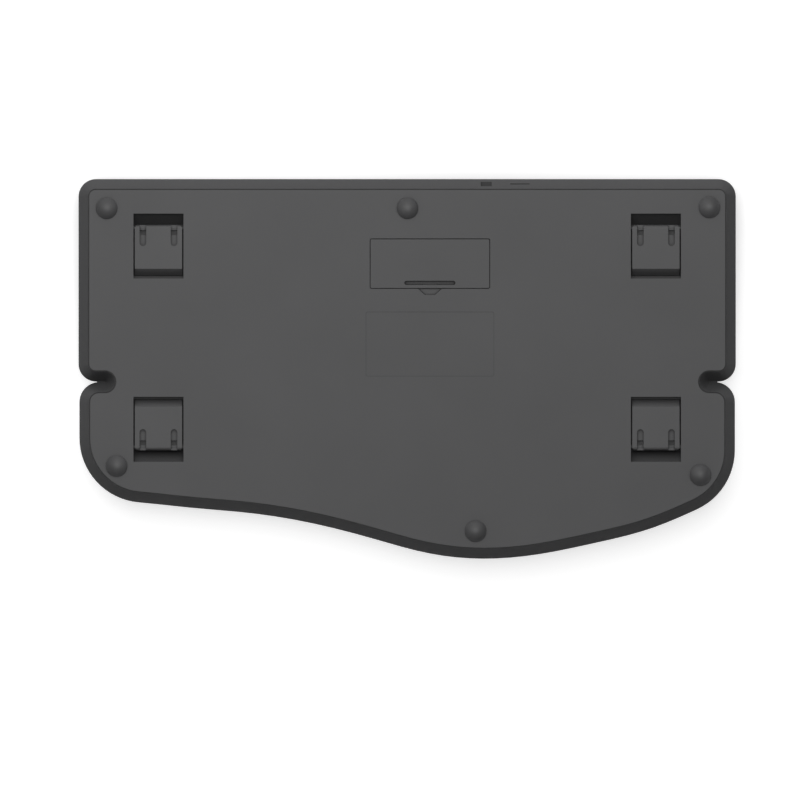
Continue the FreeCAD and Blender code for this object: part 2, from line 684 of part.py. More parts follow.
def floor_posts():
    """Posts under the circuit board and bosses round the screws."""
    x, y = BOARD_CENTRE
    half_x, half_y = BOARD_SIZE[0] / 2 - BOARD_POST_INSET, BOARD_SIZE[1] / 2 - BOARD_POST_INSET
    posts = [standing(BOARD_POST_R, x + sx * half_x, y + sy * half_y, BOARD_Z) for sx in (-1, 1) for sy in (-1, 1)]
    return posts + [standing(BOSS_R, *FEET[i], BOSS_TOP_Z) for i in SCREW_FEET]


def bottom_case():
    """Panel, sloped band and lip, with the leg pockets, battery bay, foot seats and screw bosses."""
    outer = Part.makeLoft([body_outline(BAND_INSET, PANEL_Z), body_outline(0, BAND_TOP_Z)], True, True)
    outer = outer.fuse(prism(body_outline(0, 0), BAND_TOP_Z, PARTING_Z))
    inner_low = body_outline(BAND_INSET + WALL * 0.6, FLOOR_Z)
    inner = Part.makeLoft([inner_low, body_outline(WALL, BAND_TOP_Z)], True, True)
    inner = inner.fuse(prism(body_outline(WALL, 0), BAND_TOP_Z, PARTING_Z + 1))
    cells, receiver = bay_spaces()
    x0, y0, x1, y1 = cover_rectangle(BAY_WALL)
    shell_low, shell_top = PANEL_Z + FLOOR / 2 - HINGE_Z, PANEL_Z + POCKET_DEPTH + FLOOR / 2 - HINGE_Z
    pocket_shell = pocket_box(POCKET_WALL, shell_low, shell_top)
    adds = [placed_leg_shape(pocket_shell, *place[1:]) for place in leg_places()]
    adds += [cleft_web(side) for side in (-1, 1)]
    adds += [grown(cells, BAY_WALL), grown(receiver, BAY_WALL)]
    adds.append(box(x0, y0, FLOOR_Z - FLOOR / 2, x1, y1, COVER_TOP + LEDGE_THICK))
    case = outer.cut(inner).fuse(adds + floor_posts())
    cuts = [placed_leg_shape(pocket_hollow(), *place[1:]) for place in leg_places()]
    cuts += [placed_leg_shape(trunnion_holes(), *place[1:]) for place in leg_places()]
    cuts += [cells, receiver, cover_seat(), thumb_notch()]
    cuts += [Part.makeCylinder(FOOT_R, FOOT_SEAT + 1, V(x, y, PANEL_Z - 1)) for x, y in FEET]
    cuts += [Part.makeCylinder(SCREW_HEAD_R, FOOT_SEAT + SCREW_HEAD, V(*FEET[i], PANEL_Z)) for i in SCREW_FEET]
    cuts += screw_holes() + [panel_groove(), label_recess(), switch_window(), rear_mark()]
    return case.cut(cuts).removeSplitter()


def cleft_web(side):
    """Web that closes the inner end of a cleft's slit."""
    x0, x1 = sorted((side * (CLEFT_END_X - WALL / 2), side * (CLEFT_END_X + CLEFT_WEB)))
    return box(x0, CLEFT_Y - CLEFT_GAP, BAND_TOP_Z, x1, CLEFT_Y + CLEFT_GAP, PARTING_Z)


def panel_groove():
    ring = prism(body_outline(BAND_INSET, 0), PANEL_Z - 0.5, PANEL_Z + GROOVE_DEPTH)
    return ring.cut(prism(body_outline(BAND_INSET + GROOVE_WIDTH, 0), PANEL_Z - 1, PANEL_Z + 1))


def label_recess():
    half = LABEL_SIZE[0] / 2
    rear = COVER_Y - COVER_DEPTH / 2 - LABEL_GAP
    plan = rounded_rectangle(COVER_X - half, rear - LABEL_SIZE[1], COVER_X + half, rear, LABEL_CORNER_R)
    return prism(plan, PANEL_Z - 1, PANEL_Z + LABEL_SINK)


def switch_window():
    return box(SWITCH_X - WINDOW_WIDTH / 2, REAR_Y - BAND_INSET - WALL - 2, WINDOW_LOW,
               SWITCH_X + WINDOW_WIDTH / 2, REAR_Y + 1, WINDOW_LOW + WINDOW_HEIGHT)


def rear_mark():
    """Shallow line engraved in the rear band beside the switch."""
    slant = math.atan2(BAND_RISE, BAND_INSET)
    mark = box(-MARK_LENGTH / 2, -MARK_WIDTH / 2, -MARK_DEPTH, MARK_LENGTH / 2, MARK_WIDTH / 2, 1)
    mark.rotate(V(0, 0, 0), V(1, 0, 0), -90 - math.degrees(math.pi / 2 - slant))
    middle = BAND_INSET / 2
    mark.translate(V(MARK_X, REAR_Y - middle, PANEL_Z + BAND_RISE / 2))
    return mark


def cover_seat():
    return prism(rounded_rectangle(*cover_rectangle(0), COVER_CORNER_R), PANEL_Z - 1, COVER_TOP)


def thumb_notch():
    """Arrow-shaped dip beside the cover's front edge, with sloped flanks."""
    y = COVER_Y - COVER_DEPTH / 2
    outlines = []
    for way in (-1, 1):
        half, tip = NOTCH_WIDTH / 2 - way * NOTCH_FLANK, NOTCH_TIP / 2 - way * NOTCH_FLANK
        z = PANEL_Z + way * NOTCH_DEPTH
        points = [V(COVER_X - half, y + 0.1, z), V(COVER_X - tip, y - NOTCH_LENGTH, z),
                  V(COVER_X + tip, y - NOTCH_LENGTH, z), V(COVER_X + half, y + 0.1, z)]
        outlines.append(Part.makePolygon(points + [points[0]]))
    return Part.makeLoft(outlines, True, True)


def battery_cover():
    """Snap-in door: plate with a grip slot, and tabs on its inside that clip beside the cells."""
    x0, y0, x1, y1 = cover_rectangle(-COVER_GAP)
    plate = prism(rounded_rectangle(x0, y0, x1, y1, COVER_CORNER_R - COVER_GAP), PANEL_Z, COVER_TOP)
    grip_y = COVER_Y - COVER_DEPTH / 2 + GRIP_UP
    grip = (COVER_X - GRIP_LENGTH / 2, grip_y - GRIP_WIDTH / 2, COVER_X + GRIP_LENGTH / 2, grip_y + GRIP_WIDTH / 2)
    plate = plate.cut(prism(rounded_rectangle(*grip, GRIP_WIDTH / 2 - 0.01), PANEL_Z - 1, PANEL_Z + GRIP_DEPTH))
    wall = COVER_DEPTH / 2 - COVER_LEDGE - TAB_GAP - TAB_THICK / 2
    half = TAB_WIDTH / 2
    tabs = []
    for shift, side in TABS:
        x, y = COVER_X + shift, COVER_Y + side * wall
        y0, y1 = y - TAB_THICK / 2, y + TAB_THICK / 2
        tabs.append(box(x - half, y0, COVER_TOP - 1, x + half, y1, COVER_TOP + TAB_HEIGHT))
    return plate.fuse(tabs).removeSplitter()


def battery_cells():
    left, axes, z = cell_places()
    cells = []
    for y in axes:
        nub_x = left + CELL_LENGTH
        points = [V(left, y, z), V(left, y, z + CELL_R - 0.4), V(left + 0.4, y, z + CELL_R),
                  V(nub_x - 0.4, y, z + CELL_R), V(nub_x, y, z + CELL_R - 0.4), V(nub_x, y, z + CELL_NUB_R),
                  V(nub_x + CELL_NUB, y, z + CELL_NUB_R), V(nub_x + CELL_NUB, y, z), V(left, y, z)]
        profile = Part.Face(Part.makePolygon(points))
        cells.append(profile.revolve(V(0, y, z), V(1, 0, 0), 360))
    return Part.makeCompound(cells)


def battery_contacts():
    """Plates at both ends of the cells, with a cone for each spring."""
    left, axes, z = cell_places()
    bay_left = left - SPRING_LENGTH - CONTACT_THICK
    right = left + CELL_LENGTH + CELL_NUB
    size = CELL_R - 1.0
    pieces = []
    for y in axes:
        spring_plate = box(bay_left, y - size, z - size, bay_left + CONTACT_THICK, y + size, z + size)
        spring = Part.makeCone(size - 0.4, size - 1.6, SPRING_LENGTH, V(bay_left + CONTACT_THICK, y, z), V(1, 0, 0))
        pieces.append(spring_plate.fuse(spring))
        pieces.append(box(right, y - size, z - size, right + CONTACT_THICK, y + size, z + size))
    return Part.makeCompound(pieces)


def usb_receiver():
    """Stowed receiver: a metal plug in a rounded plastic end."""
    space = bay_spaces()[1].BoundBox
    x = (space.XMin + space.XMax) / 2
    y0 = COVER_Y - RECEIVER[1] / 2
    z0 = COVER_TOP + RECEIVER_LIFT
    cap = box(x - RECEIVER[0] / 2, y0, z0, x + RECEIVER[0] / 2, y0 + 6.2, z0 + RECEIVER[2])
    cap = cap.makeFillet(1.2, [e for e in cap.Edges if abs(e.Vertexes[0].Y - e.Vertexes[-1].Y) > 1])
    plug = box(x - 6, y0 + 6.2, z0 + 0.8, x + 6, y0 + RECEIVER[1], z0 + RECEIVER[2] - 0.7)
    return cap.fuse(plug)


def rubber_feet():
    """Domed feet in shallow seats, each with a small flat tip."""
    rise = FOOT_DROP
    feet = []
    for x, y in FEET:
        rim = V(x + FOOT_R, y, PANEL_Z)
        tip = V(x + FOOT_FLAT_R, y, 0)
        middle = V(x + FOOT_FLAT_R + (FOOT_R - FOOT_FLAT_R) * 0.62, y, rise * 0.30)
        edges = [line((x, y, 0), tuple(tip)), Part.Arc(tip, middle, rim).toShape(),
                 line(tuple(rim), (x + FOOT_R, y, PANEL_Z + FOOT_SEAT)),
                 line((x + FOOT_R, y, PANEL_Z + FOOT_SEAT), (x, y, PANEL_Z + FOOT_SEAT)),
                 line((x, y, PANEL_Z + FOOT_SEAT), (x, y, 0))]
        feet.append(Part.Face(Part.Wire(edges)).revolve(V(x, y, 0), V(0, 0, 1), 360))
    return Part.makeCompound(feet)


def knob_box(grow):
    """Room of the switch's knob at the left end of its travel, grown all round."""
    x = SWITCH_X - SWITCH_TRAVEL / 2
    z = WINDOW_LOW + WINDOW_HEIGHT / 2
    return box(x - KNOB_WIDTH / 2 - grow, KNOB_TIP_Y - KNOB_LENGTH - grow, z - KNOB_HEIGHT / 2 - grow,
               x + KNOB_WIDTH / 2 + grow, KNOB_TIP_Y + grow, z + KNOB_HEIGHT / 2 + grow)


def power_switch():
    """Slide knob of the on/off switch, with thumb grooves across its tip."""
    knob = knob_box(0)
    x = SWITCH_X - SWITCH_TRAVEL / 2
    half = KNOB_GROOVE / 2
    grooves = [box(x + shift - half, KNOB_TIP_Y - KNOB_GROOVE, WINDOW_LOW, x + shift + half, KNOB_TIP_Y + 1,
                   WINDOW_LOW + WINDOW_HEIGHT) for shift in KNOB_GROOVES]
    return knob.cut(grooves)


def controller_board():
    """Circuit board with the slide switch, controller, radio shield and flex connector."""
    x, y = BOARD_CENTRE
    half_x, half_y = BOARD_SIZE[0] / 2, BOARD_SIZE[1] / 2
    top = BOARD_Z + BOARD_SIZE[2]
    board = box(x - half_x, y - half_y, BOARD_Z, x + half_x, y + half_y, top)
    half, depth = SWITCH_BODY[0] / 2, SWITCH_BODY[1]
    parts = [box(SWITCH_X - half, SWITCH_BODY_Y - depth, WINDOW_LOW, SWITCH_X + half, SWITCH_BODY_Y, BOARD_Z)]
    parts += [box(x + x0, y + y0, top, x + x1, y + y1, top + height) for x0, y0, x1, y1, height in BOARD_PARTS]
    travelled = knob_box(KNOB_GAP)
    travelled.translate(V(SWITCH_TRAVEL, 0, 0))
    slot = knob_box(KNOB_GAP).fuse(travelled)
    return board.fuse(parts).cut(slot).removeSplitter()


def case_screws():
    screws = []
    for i in SCREW_FEET:
        x, y = FEET[i]
        z = PANEL_Z + FOOT_SEAT
        shank = Part.makeCylinder(SCREW_R, SCREW_TOP_Z - z - SCREW_HEAD, V(x, y, z + SCREW_HEAD))
        screws.append(Part.makeCylinder(SCREW_HEAD_R, SCREW_HEAD, V(x, y, z)).fuse(shank))
    return Part.makeCompound(screws)


def key_list():
    """Every key: node, centre X, centre Y in the flat layout, width and depth."""
    keys = []
    for row, entries in enumerate(MAIN_ROWS):
        x = FIELD_LEFT
        y, depth = row_place(row, 1)
        for node, pitches in entries:
            width = pitches * KEY_PITCH
            keys.append((node, x + width / 2, y, width - KEY_GAP, depth))
            x += width
    for node, column, row, wide, deep in NUMBER_KEYS:
        y, depth = row_place(row, deep)
        keys.append((node, NUMBER_LEFT + (column + wide / 2) * KEY_PITCH, y, wide * KEY_PITCH - KEY_GAP, depth))
    return keys


def row_place(row, deep):
    """Centre Y and depth of a key that starts in a row."""
    if row == 5:
        return FIELD_REAR - FUNCTION_PITCH / 2, FUNCTION_PITCH - KEY_GAP
    return FIELD_FRONT + (row + deep / 2) * KEY_PITCH, deep * KEY_PITCH - KEY_GAP


def key_frame(x, y):
    """Placement on the rim surface: X along the row, Z square to the surface."""
    centre = V(x, y + smile(x), rim_z(x, y + smile(x)))
    slope_x = WAVE_RISE * bump_slope(x)
    normal = V(-slope_x, -SLOPE, 1).normalize()
    dip = -SMILE_DEPTH * bump_slope(x)
    along = V(1, dip, slope_x + dip * SLOPE).normalize()
    across = normal.cross(along)
    matrix = FreeCAD.Matrix(along.x, across.x, normal.x, centre.x, along.y, across.y, normal.y, centre.y,
                            along.z, across.z, normal.z, centre.z, 0, 0, 0, 1)
    return FreeCAD.Placement(matrix)


def upright_frame(x, y):
    """Placement at a key's centre, turned with the row and upright."""
    place = V(x, y + smile(x), rim_z(x, y + smile(x)))
    turn = math.degrees(math.atan(-SMILE_DEPTH * bump_slope(x)))
    return FreeCAD.Placement(place, FreeCAD.Rotation(V(0, 0, 1), turn))


def post_places(width, depth):
    """Where a key's posts stand along its width and depth: the plunger, then guides on long keys."""
    places = [(0, 0)]
    if width > 1.7 * KEY_PITCH:
        reach = min(width / 2 - 6.5, 2 * KEY_PITCH)
        places += [(-reach, 0), (reach, 0)]
    if depth > 1.5 * KEY_PITCH:
        reach = depth / 2 - 6.5
        places += [(0, -reach), (0, reach)]
    return places


def post_frames(key):
    _, x, y, width, depth = key
    return [upright_frame(x + dx, y + dy) for dx, dy in post_places(width, depth)]


def placed(shape, placement):
    shape = shape.copy()
    shape.Placement = placement
    return shape


def plain_cap(width, depth):
    """Tapered cap with round corners, a dished top and a hollow underside, skirt at z 0."""
    def rectangle(shrink, z, radius):
        x, y = width / 2 - shrink, depth / 2 - shrink
        return rounded_rectangle(-x, -y, x, y, radius, z)
    cap = Part.makeLoft([rectangle(0, 0, CAP_CORNER_R), rectangle(CAP_TAPER, CAP_HEIGHT, CAP_CORNER_R)], True, True)
    top_width = width - 2 * CAP_TAPER
    if width < 1.6 * KEY_PITCH:
        radius = (top_width ** 2 / 4 + DISH_DEPTH ** 2) / (2 * DISH_DEPTH)
        start = V(0, -depth / 2 - 1, CAP_HEIGHT + radius - DISH_DEPTH)
        cap = cap.cut(Part.makeCylinder(radius, depth + 2, start, V(0, 1, 0)))
    x, y = width / 2 - CAP_WALL - 0.4, depth / 2 - CAP_WALL - 0.4
    return cap.cut(box(-x, -y, -1, x, y, CAP_HEIGHT - DISH_DEPTH - CAP_WALL))


def curved_outline(x, y, width, depth, shrink, z):
    """Plan of a long key whose long sides follow the smile of the rows."""
    x0, x1 = x - width / 2 + shrink, x + width / 2 - shrink
    edges = []
    for rim_y in (y - depth / 2 + shrink, y + depth / 2 - shrink):
        points = [(px, rim_y + smile(px), z) for px in spread(x0, x1, 4)]
        curve = Part.BSplineCurve()
        curve.interpolate([V(*p) for p in points])
        edges.append(curve.toShape())
    front, rear = edges
    left = line(tuple(front.Vertexes[0].Point), tuple(rear.Vertexes[0].Point))
    right = line(tuple(front.Vertexes[-1].Point), tuple(rear.Vertexes[-1].Point))
    return Part.Wire([front, right, rear, left])


def curved_cap(x, y, width, depth):
    """The space bar: its sides follow the smile and its top and skirt follow the wave."""
    low = rim_z(x + width / 2, y + smile(x)) - 6
    high = low + CAP_HEIGHT + 14
    taper = CAP_TAPER * (high - low) / CAP_HEIGHT
    outside = Part.makeLoft([curved_outline(x, y, width, depth, -taper / 3, low),
                             curved_outline(x, y, width, depth, taper * 2 / 3, high)], True, True)
    inside = prism(curved_outline(x, y, width, depth, CAP_WALL + 0.8, 0), 0, SKY)
    cap = outside.common(wave_slab(SKIRT_LIFT, SKIRT_LIFT + CAP_HEIGHT))
    return cap.cut(inside.common(wave_slab(-5, SKIRT_LIFT + CAP_HEIGHT - CAP_WALL)))


def key_solid(key):
    """Cap with its posts, which stand upright in the deck's guides."""
    node, x, y, width, depth = key
    if node == "space_bar":
        cap = curved_cap(x, y, width, depth)
    else:
        frame = key_frame(x, y)
        cap = placed(plain_cap(width, depth), frame)
        cap.translate(V(0, 0, SKIRT_LIFT))
    half = PLUNGER / 2
    head = SKIRT_LIFT + CAP_HEIGHT - DISH_DEPTH - CAP_WALL / 2
    post = box(-half, -half, PLUNGER_FOOT, half, half, head)
    return cap.fuse([placed(post, frame) for frame in post_frames(key)])


def key_deck():
    """Waved plate under the roof, with a square guide for each post."""
    plate = prism(key_half_outline(WALL + DECK_GAP), 0, SKY).common(wave_slab(STACK_TOP, -ROOF))
    inner = PLUNGER / 2 + GUIDE_GAP
    outer = inner + GUIDE_WALL
    guide = box(-outer, -outer, -ROOF - DECK / 2, outer, outer, GUIDE_RISE)
    hole = box(-inner, -inner, -ROOF - 3 * DECK, inner, inner, GUIDE_RISE + 1)
    frames = [frame for key in key_list() for frame in post_frames(key)]
    deck = plate.fuse([placed(guide, frame) for frame in frames])
    deck = deck.cut([placed(hole, frame) for frame in frames])
    posts = [Part.makeCylinder(BOSS_R, SKY, V(*FEET[i], BOSS_TOP_Z)) for i in SCREW_FEET if FEET[i][1] > CLEFT_Y]
    under = wave_slab(-SKY, -ROOF - DECK / 2)
    deck = deck.fuse([post.common(under) for post in posts])
    return deck.cut(screw_holes())


def rubber_domes():
    """One six-sided dome under each plunger, standing on the membrane inside its guide."""
    over_membrane = wave_slab(STACK_TOP - DOME_SHEET, SKY)
    domes = []
    for key in key_list():
        place = post_frames(key)[0].Base
        wires = []
        for radius, z in ((DOME_R, STACK_TOP - 1), (DOME_TIP_R, PLUNGER_FOOT - DOME_REST_GAP)):
            wires.append(Part.makePolygon([place + V(radius * math.cos(a), radius * math.sin(a), z)
                                           for a in spread(0, 2 * math.pi, 6)]))
        domes.append(Part.makeLoft(wires, True, True).common(over_membrane))
    return Part.makeCompound(domes)


def sheet(low, high):
    """Thin sheet under the deck, cut round the deck's screw posts."""
    blank = prism(key_half_outline(SHEET_MARGIN), 0, SKY).common(wave_slab(low, high))
    posts = [Part.makeCylinder(BOSS_R + DECK_GAP, SKY, V(*FEET[i], 0)) for i in SCREW_FEET]
    return blank.cut(posts)


def membrane_sheet():
    top = STACK_TOP - DOME_SHEET
    return sheet(top - MEMBRANE, top)


def backing_plate():
    top = STACK_TOP - DOME_SHEET - MEMBRANE
    return sheet(top - BACKING, top)


def build():
    os.makedirs("parts", exist_ok=True)
    nodes = {
        "bottom_case": bottom_case(),
        "top_case": top_case(),
        "palm_rest_base": palm_rest_base(),
        "palm_rest_pad": palm_rest_pad(),
        "battery_cover": battery_cover(),
        "battery_cells": battery_cells(),
        "battery_contacts": battery_contacts(),
        "usb_receiver": usb_receiver(),
        "rubber_feet": rubber_feet(),
        "power_switch": power_switch(),
        "controller_board": controller_board(),
        "indicator_lenses": indicator_lenses(),
        "case_screws": case_screws(),
        "key_deck": key_deck(),
        "rubber_domes": rubber_domes(),
        "membrane_sheet": membrane_sheet(),
        "backing_plate": backing_plate(),
    }
    leg = tilt_leg()
    for name, x, hinge_y, heel in leg_places():
        nodes[name] = placed_leg_shape(leg, x, hinge_y, heel)
    keys = {}
    for key in key_list():
        keys.setdefault(key[0], []).append(key_solid(key))
    for name, solids in keys.items():
        nodes[name] = solids[0] if len(solids) == 1 else Part.makeCompound(solids)
    for name, shape in nodes.items():
        shape.exportStep("parts/" + name + ".step")
        print(name, len(shape.Solids), round(shape.Volume), shape.isValid())


build()
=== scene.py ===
import math

import bmesh
import bpy
from mathutils import Matrix, Vector
from mathutils.bvhtree import BVHTree
from mathutils.geometry import delaunay_2d_cdt
from mathutils.kdtree import KDTree


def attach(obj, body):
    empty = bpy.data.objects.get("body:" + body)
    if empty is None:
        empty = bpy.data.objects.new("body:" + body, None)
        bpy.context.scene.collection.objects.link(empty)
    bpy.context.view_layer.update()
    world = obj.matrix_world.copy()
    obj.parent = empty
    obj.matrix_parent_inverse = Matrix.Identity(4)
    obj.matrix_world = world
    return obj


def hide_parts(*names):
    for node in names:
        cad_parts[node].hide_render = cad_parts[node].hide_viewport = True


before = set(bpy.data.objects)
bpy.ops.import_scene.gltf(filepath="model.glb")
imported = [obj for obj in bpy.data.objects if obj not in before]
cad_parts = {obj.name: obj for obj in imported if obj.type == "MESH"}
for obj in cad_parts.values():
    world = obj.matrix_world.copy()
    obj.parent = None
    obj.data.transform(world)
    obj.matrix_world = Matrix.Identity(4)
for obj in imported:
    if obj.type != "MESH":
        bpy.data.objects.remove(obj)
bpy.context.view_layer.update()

# The keyboard's measures, in metres
MM = 0.001
WAVE_X = -43.4 * MM
WAVE_RISE = 5.0 * MM
SMILE_DEPTH = 12.0 * MM
WAVE_HALF = 129.3 * MM
SIDE_RIM_Z = 15.6 * MM
CLEFT_Y = -7.4 * MM
SLOPE = math.tan(math.radians(2.5))
PITCH = 19.0 * MM
FUNCTION_PITCH = 14.0 * MM
FIELD_LEFT = -182.0 * MM
FIELD_FRONT = -3.6 * MM
NUMBER_LEFT = FIELD_LEFT + 15 * PITCH + 3.0 * MM
KEY_GAP = 1.4 * MM
CAP_HEIGHT = 4.4 * MM
CAP_TAPER = 1.4 * MM
SKIRT_LIFT = 1.0 * MM
DISH = 0.5 * MM
CAP_WALL = 1.2 * MM
CAP_EDGE = 0.9 * MM
CAP_EDGE_SPREAD = 1.1
CAP_SIDE_SHARE = 0.72
CAP_SKIRT_BEVEL = 0.15 * MM
CAP_INNER_DRAFT = 0.7 * MM
CAP_INNER_R = 0.6 * MM
CAP_SKIRT_R = 1.7 * MM
CAP_SIDE_R = 1.9 * MM
CAP_TOP_R = 2.0 * MM
DISHED_PITCHES = 1.6
PLUNGER = 5.6 * MM
POST_FOOT = -0.2 * MM
POST_SINK = 0.7 * MM
FEET = [(x * MM, y * MM) for x, y in ((171.7, 91.7), (-0.2, 91.7), (-172.7, 92.2),
                                     (166.0, -55.6), (-39.1, -92.8), (-167.6, -60.7))]
FOOT_R = 6.2 * MM
FOOT_DROP = 2.5 * MM


# Materials

NOISE_LOW, NOISE_HIGH = 0.3, 0.7
CREVICE_SAMPLES = 12
CREVICE_OPEN = 0.96


def new_material(name):
    """Material with one shader, and no more nodes yet."""
    material = bpy.data.materials.new(name)
    material.use_nodes = True
    nodes = material.node_tree.nodes
    nodes.clear()
    output = nodes.new("ShaderNodeOutputMaterial")
    shader = nodes.new("ShaderNodeBsdfPrincipled")
    material.node_tree.links.new(shader.outputs[0], output.inputs[0])
    return material, nodes, material.node_tree.links, shader


def noise(nodes, links, coordinates, scale, detail=3.0):
    """Noise in the object's own coordinates."""
    node = nodes.new("ShaderNodeTexNoise")
    node.inputs["Scale"].default_value = scale
    node.inputs["Detail"].default_value = detail
    links.new(coordinates.outputs["Object"], node.inputs["Vector"])
    return node


def ranged(nodes, links, source, low, high):
    """Spreads the noise's usual values from low to high."""
    node = nodes.new("ShaderNodeMapRange")
    node.inputs["From Min"].default_value = NOISE_LOW
    node.inputs["From Max"].default_value = NOISE_HIGH
    node.inputs["To Min"].default_value = low
    node.inputs["To Max"].default_value = high
    links.new(source, node.inputs["Value"])
    return node


def tinted(nodes, links, source, colour, spread):
    """Colour that varies a little about its middle."""
    ramp = nodes.new("ShaderNodeValToRGB")
    ramp.color_ramp.elements[0].position = NOISE_LOW
    ramp.color_ramp.elements[1].position = NOISE_HIGH
    for element, gain in zip(ramp.color_ramp.elements, (1 - spread, 1 + spread)):
        element.color = [min(1.0, c * gain) for c in colour] + [1.0]
    links.new(source, ramp.inputs["Fac"])
    return ramp


def painted_crevice_shade(nodes, links, colour, reach, shut, least):
    """Painted shade: darkens a colour where other faces stand close round it, most where only a share of the
    sky is open.
    """
    near = nodes.new("ShaderNodeAmbientOcclusion")
    near.samples = CREVICE_SAMPLES
    near.inputs["Distance"].default_value = reach
    gain = nodes.new("ShaderNodeMapRange")
    gain.inputs["From Min"].default_value = shut
    gain.inputs["From Max"].default_value = CREVICE_OPEN
    gain.inputs["To Min"].default_value = least
    gain.inputs["To Max"].default_value = 1.0
    links.new(near.outputs["AO"], gain.inputs["Value"])
    scale = nodes.new("ShaderNodeVectorMath")
    scale.operation = "SCALE"
    links.new(colour, scale.inputs[0])
    links.new(gain.outputs["Result"], scale.inputs["Scale"])
    return scale.outputs["Vector"]


def plastic(name, colour, rough=0.5, grain=2600.0, depth=0.012, spread=0.03, specular=0.5, crevice_shade=None):
    """Moulded plastic: cloudy tone, and a fine grain that the roughness and the bump follow. If asked,
    painted shade darkens its colour where other faces stand close.
    """
    material, nodes, links, shader = new_material(name)
    where = nodes.new("ShaderNodeTexCoord")
    cloud = noise(nodes, links, where, 18.0)
    fine = noise(nodes, links, where, grain, 2.0)
    tone = tinted(nodes, links, cloud.outputs["Fac"], colour, spread).outputs["Color"]
    # Painted shade in crevices and recesses, darkening the colour itself.
    if crevice_shade:
        tone = painted_crevice_shade(nodes, links, tone, *crevice_shade)
    links.new(tone, shader.inputs["Base Color"])
    links.new(ranged(nodes, links, fine.outputs["Fac"], rough - 0.05, rough + 0.07).outputs["Result"],
              shader.inputs["Roughness"])
    bump = nodes.new("ShaderNodeBump")
    bump.inputs["Strength"].default_value = 0.35
    bump.inputs["Distance"].default_value = depth * MM
    links.new(fine.outputs["Fac"], bump.inputs["Height"])
    links.new(bump.outputs["Normal"], shader.inputs["Normal"])
    shader.inputs["Specular IOR Level"].default_value = specular
    return material


def rubber(name, colour, rough, specular=0.3):
    """Rubber or silicone: a coarser grain and a cloudier tone than plastic."""
    return plastic(name, colour, rough, grain=1400.0, depth=0.02, spread=0.05, specular=specular)


def metal(name, colour, rough, stretch=(1.0, 60.0, 60.0)):
    """Rolled or plated metal with fine lines along one way."""
    material, nodes, links, shader = new_material(name)
    where = nodes.new("ShaderNodeTexCoord")
    mapping = nodes.new("ShaderNodeMapping")
    mapping.inputs["Scale"].default_value = stretch
    links.new(where.outputs["Object"], mapping.inputs["Vector"])
    lines = nodes.new("ShaderNodeTexNoise")
    lines.inputs["Scale"].default_value = 60.0
    links.new(mapping.outputs["Vector"], lines.inputs["Vector"])
    links.new(tinted(nodes, links, lines.outputs["Fac"], colour, 0.06).outputs["Color"],
              shader.inputs["Base Color"])
    links.new(ranged(nodes, links, lines.outputs["Fac"], rough - 0.06, rough + 0.1).outputs["Result"],
              shader.inputs["Roughness"])
    shader.inputs["Metallic"].default_value = 1.0
    return material


def leather(name, colour):
    """Soft synthetic leather: cells of fine grain over slow waves."""
    material, nodes, links, shader = new_material(name)
    where = nodes.new("ShaderNodeTexCoord")
    cells = nodes.new("ShaderNodeTexVoronoi")
    cells.feature = "DISTANCE_TO_EDGE"
    cells.inputs["Scale"].default_value = 900.0
    links.new(where.outputs["Object"], cells.inputs["Vector"])
    pores = noise(nodes, links, where, 2600.0, 2.0)
    cloud = noise(nodes, links, where, 22.0)
    links.new(tinted(nodes, links, cloud.outputs["Fac"], colour, 0.07).outputs["Color"],
              shader.inputs["Base Color"])
    links.new(ranged(nodes, links, pores.outputs["Fac"], 0.5, 0.66).outputs["Result"],
              shader.inputs["Roughness"])
    grain = nodes.new("ShaderNodeBump")
    grain.inputs["Strength"].default_value = 0.5
    grain.inputs["Distance"].default_value = 0.06 * MM
    links.new(cells.outputs["Distance"], grain.inputs["Height"])
    over = nodes.new("ShaderNodeBump")
    over.inputs["Strength"].default_value = 0.3
    over.inputs["Distance"].default_value = 0.03 * MM
    links.new(pores.outputs["Fac"], over.inputs["Height"])
    links.new(grain.outputs["Normal"], over.inputs["Normal"])
    links.new(over.outputs["Normal"], shader.inputs["Normal"])
    shader.inputs["Sheen Weight"].default_value = 0.15
    shader.inputs["Sheen Roughness"].default_value = 0.5
    return material


CASE = (0.093, 0.093, 0.095)
PALM = (0.086, 0.086, 0.088)
LEG = (0.095, 0.095, 0.097)
# The case, palm, cover and leg plastics take painted shade: their colour darkens in crevices and recesses.
REACH = 14.0 * MM
case_plastic = plastic("case_plastic", CASE, 0.55, specular=0.35, crevice_shade=(REACH, 0.8, 0.45))
palm_plastic = plastic("palm_plastic", PALM, 0.55, specular=0.35, crevice_shade=(REACH, 0.75, 0.35))
cover_plastic = plastic("cover_plastic", CASE, 0.55, specular=0.35, crevice_shade=(6.0 * MM, 0.55, 0.1))
leg_plastic = plastic("leg_plastic", LEG, 0.52, specular=0.35, crevice_shade=(REACH, 0.7, 0.5))
key_plastic = plastic("key_plastic", (0.048, 0.048, 0.051), rough=0.42, grain=3200.0, depth=0.008)
switch_plastic = plastic("switch_plastic", (0.02, 0.02, 0.021), rough=0.4)
inner_plastic = plastic("inner_plastic", (0.016, 0.016, 0.017), rough=0.45)
receiver_plastic = plastic("receiver_plastic", (0.03, 0.03, 0.031), rough=0.35)
foot_rubber = rubber("foot_rubber", (0.066, 0.066, 0.068), rough=0.45, specular=0.9)
dome_rubber = rubber("dome_rubber", (0.72, 0.73, 0.74), rough=0.5)
pad_skin = leather("pad_skin", (0.052, 0.052, 0.055))
cell_jacket = metal("cell_jacket", (0.17, 0.18, 0.2), rough=0.3, stretch=(1.0, 6.0, 6.0))
contact_metal = metal("contact_metal", (0.78, 0.77, 0.74), rough=0.22)
screw_steel = metal("screw_steel", (0.55, 0.55, 0.56), rough=0.32, stretch=(1.0, 1.0, 1.0))
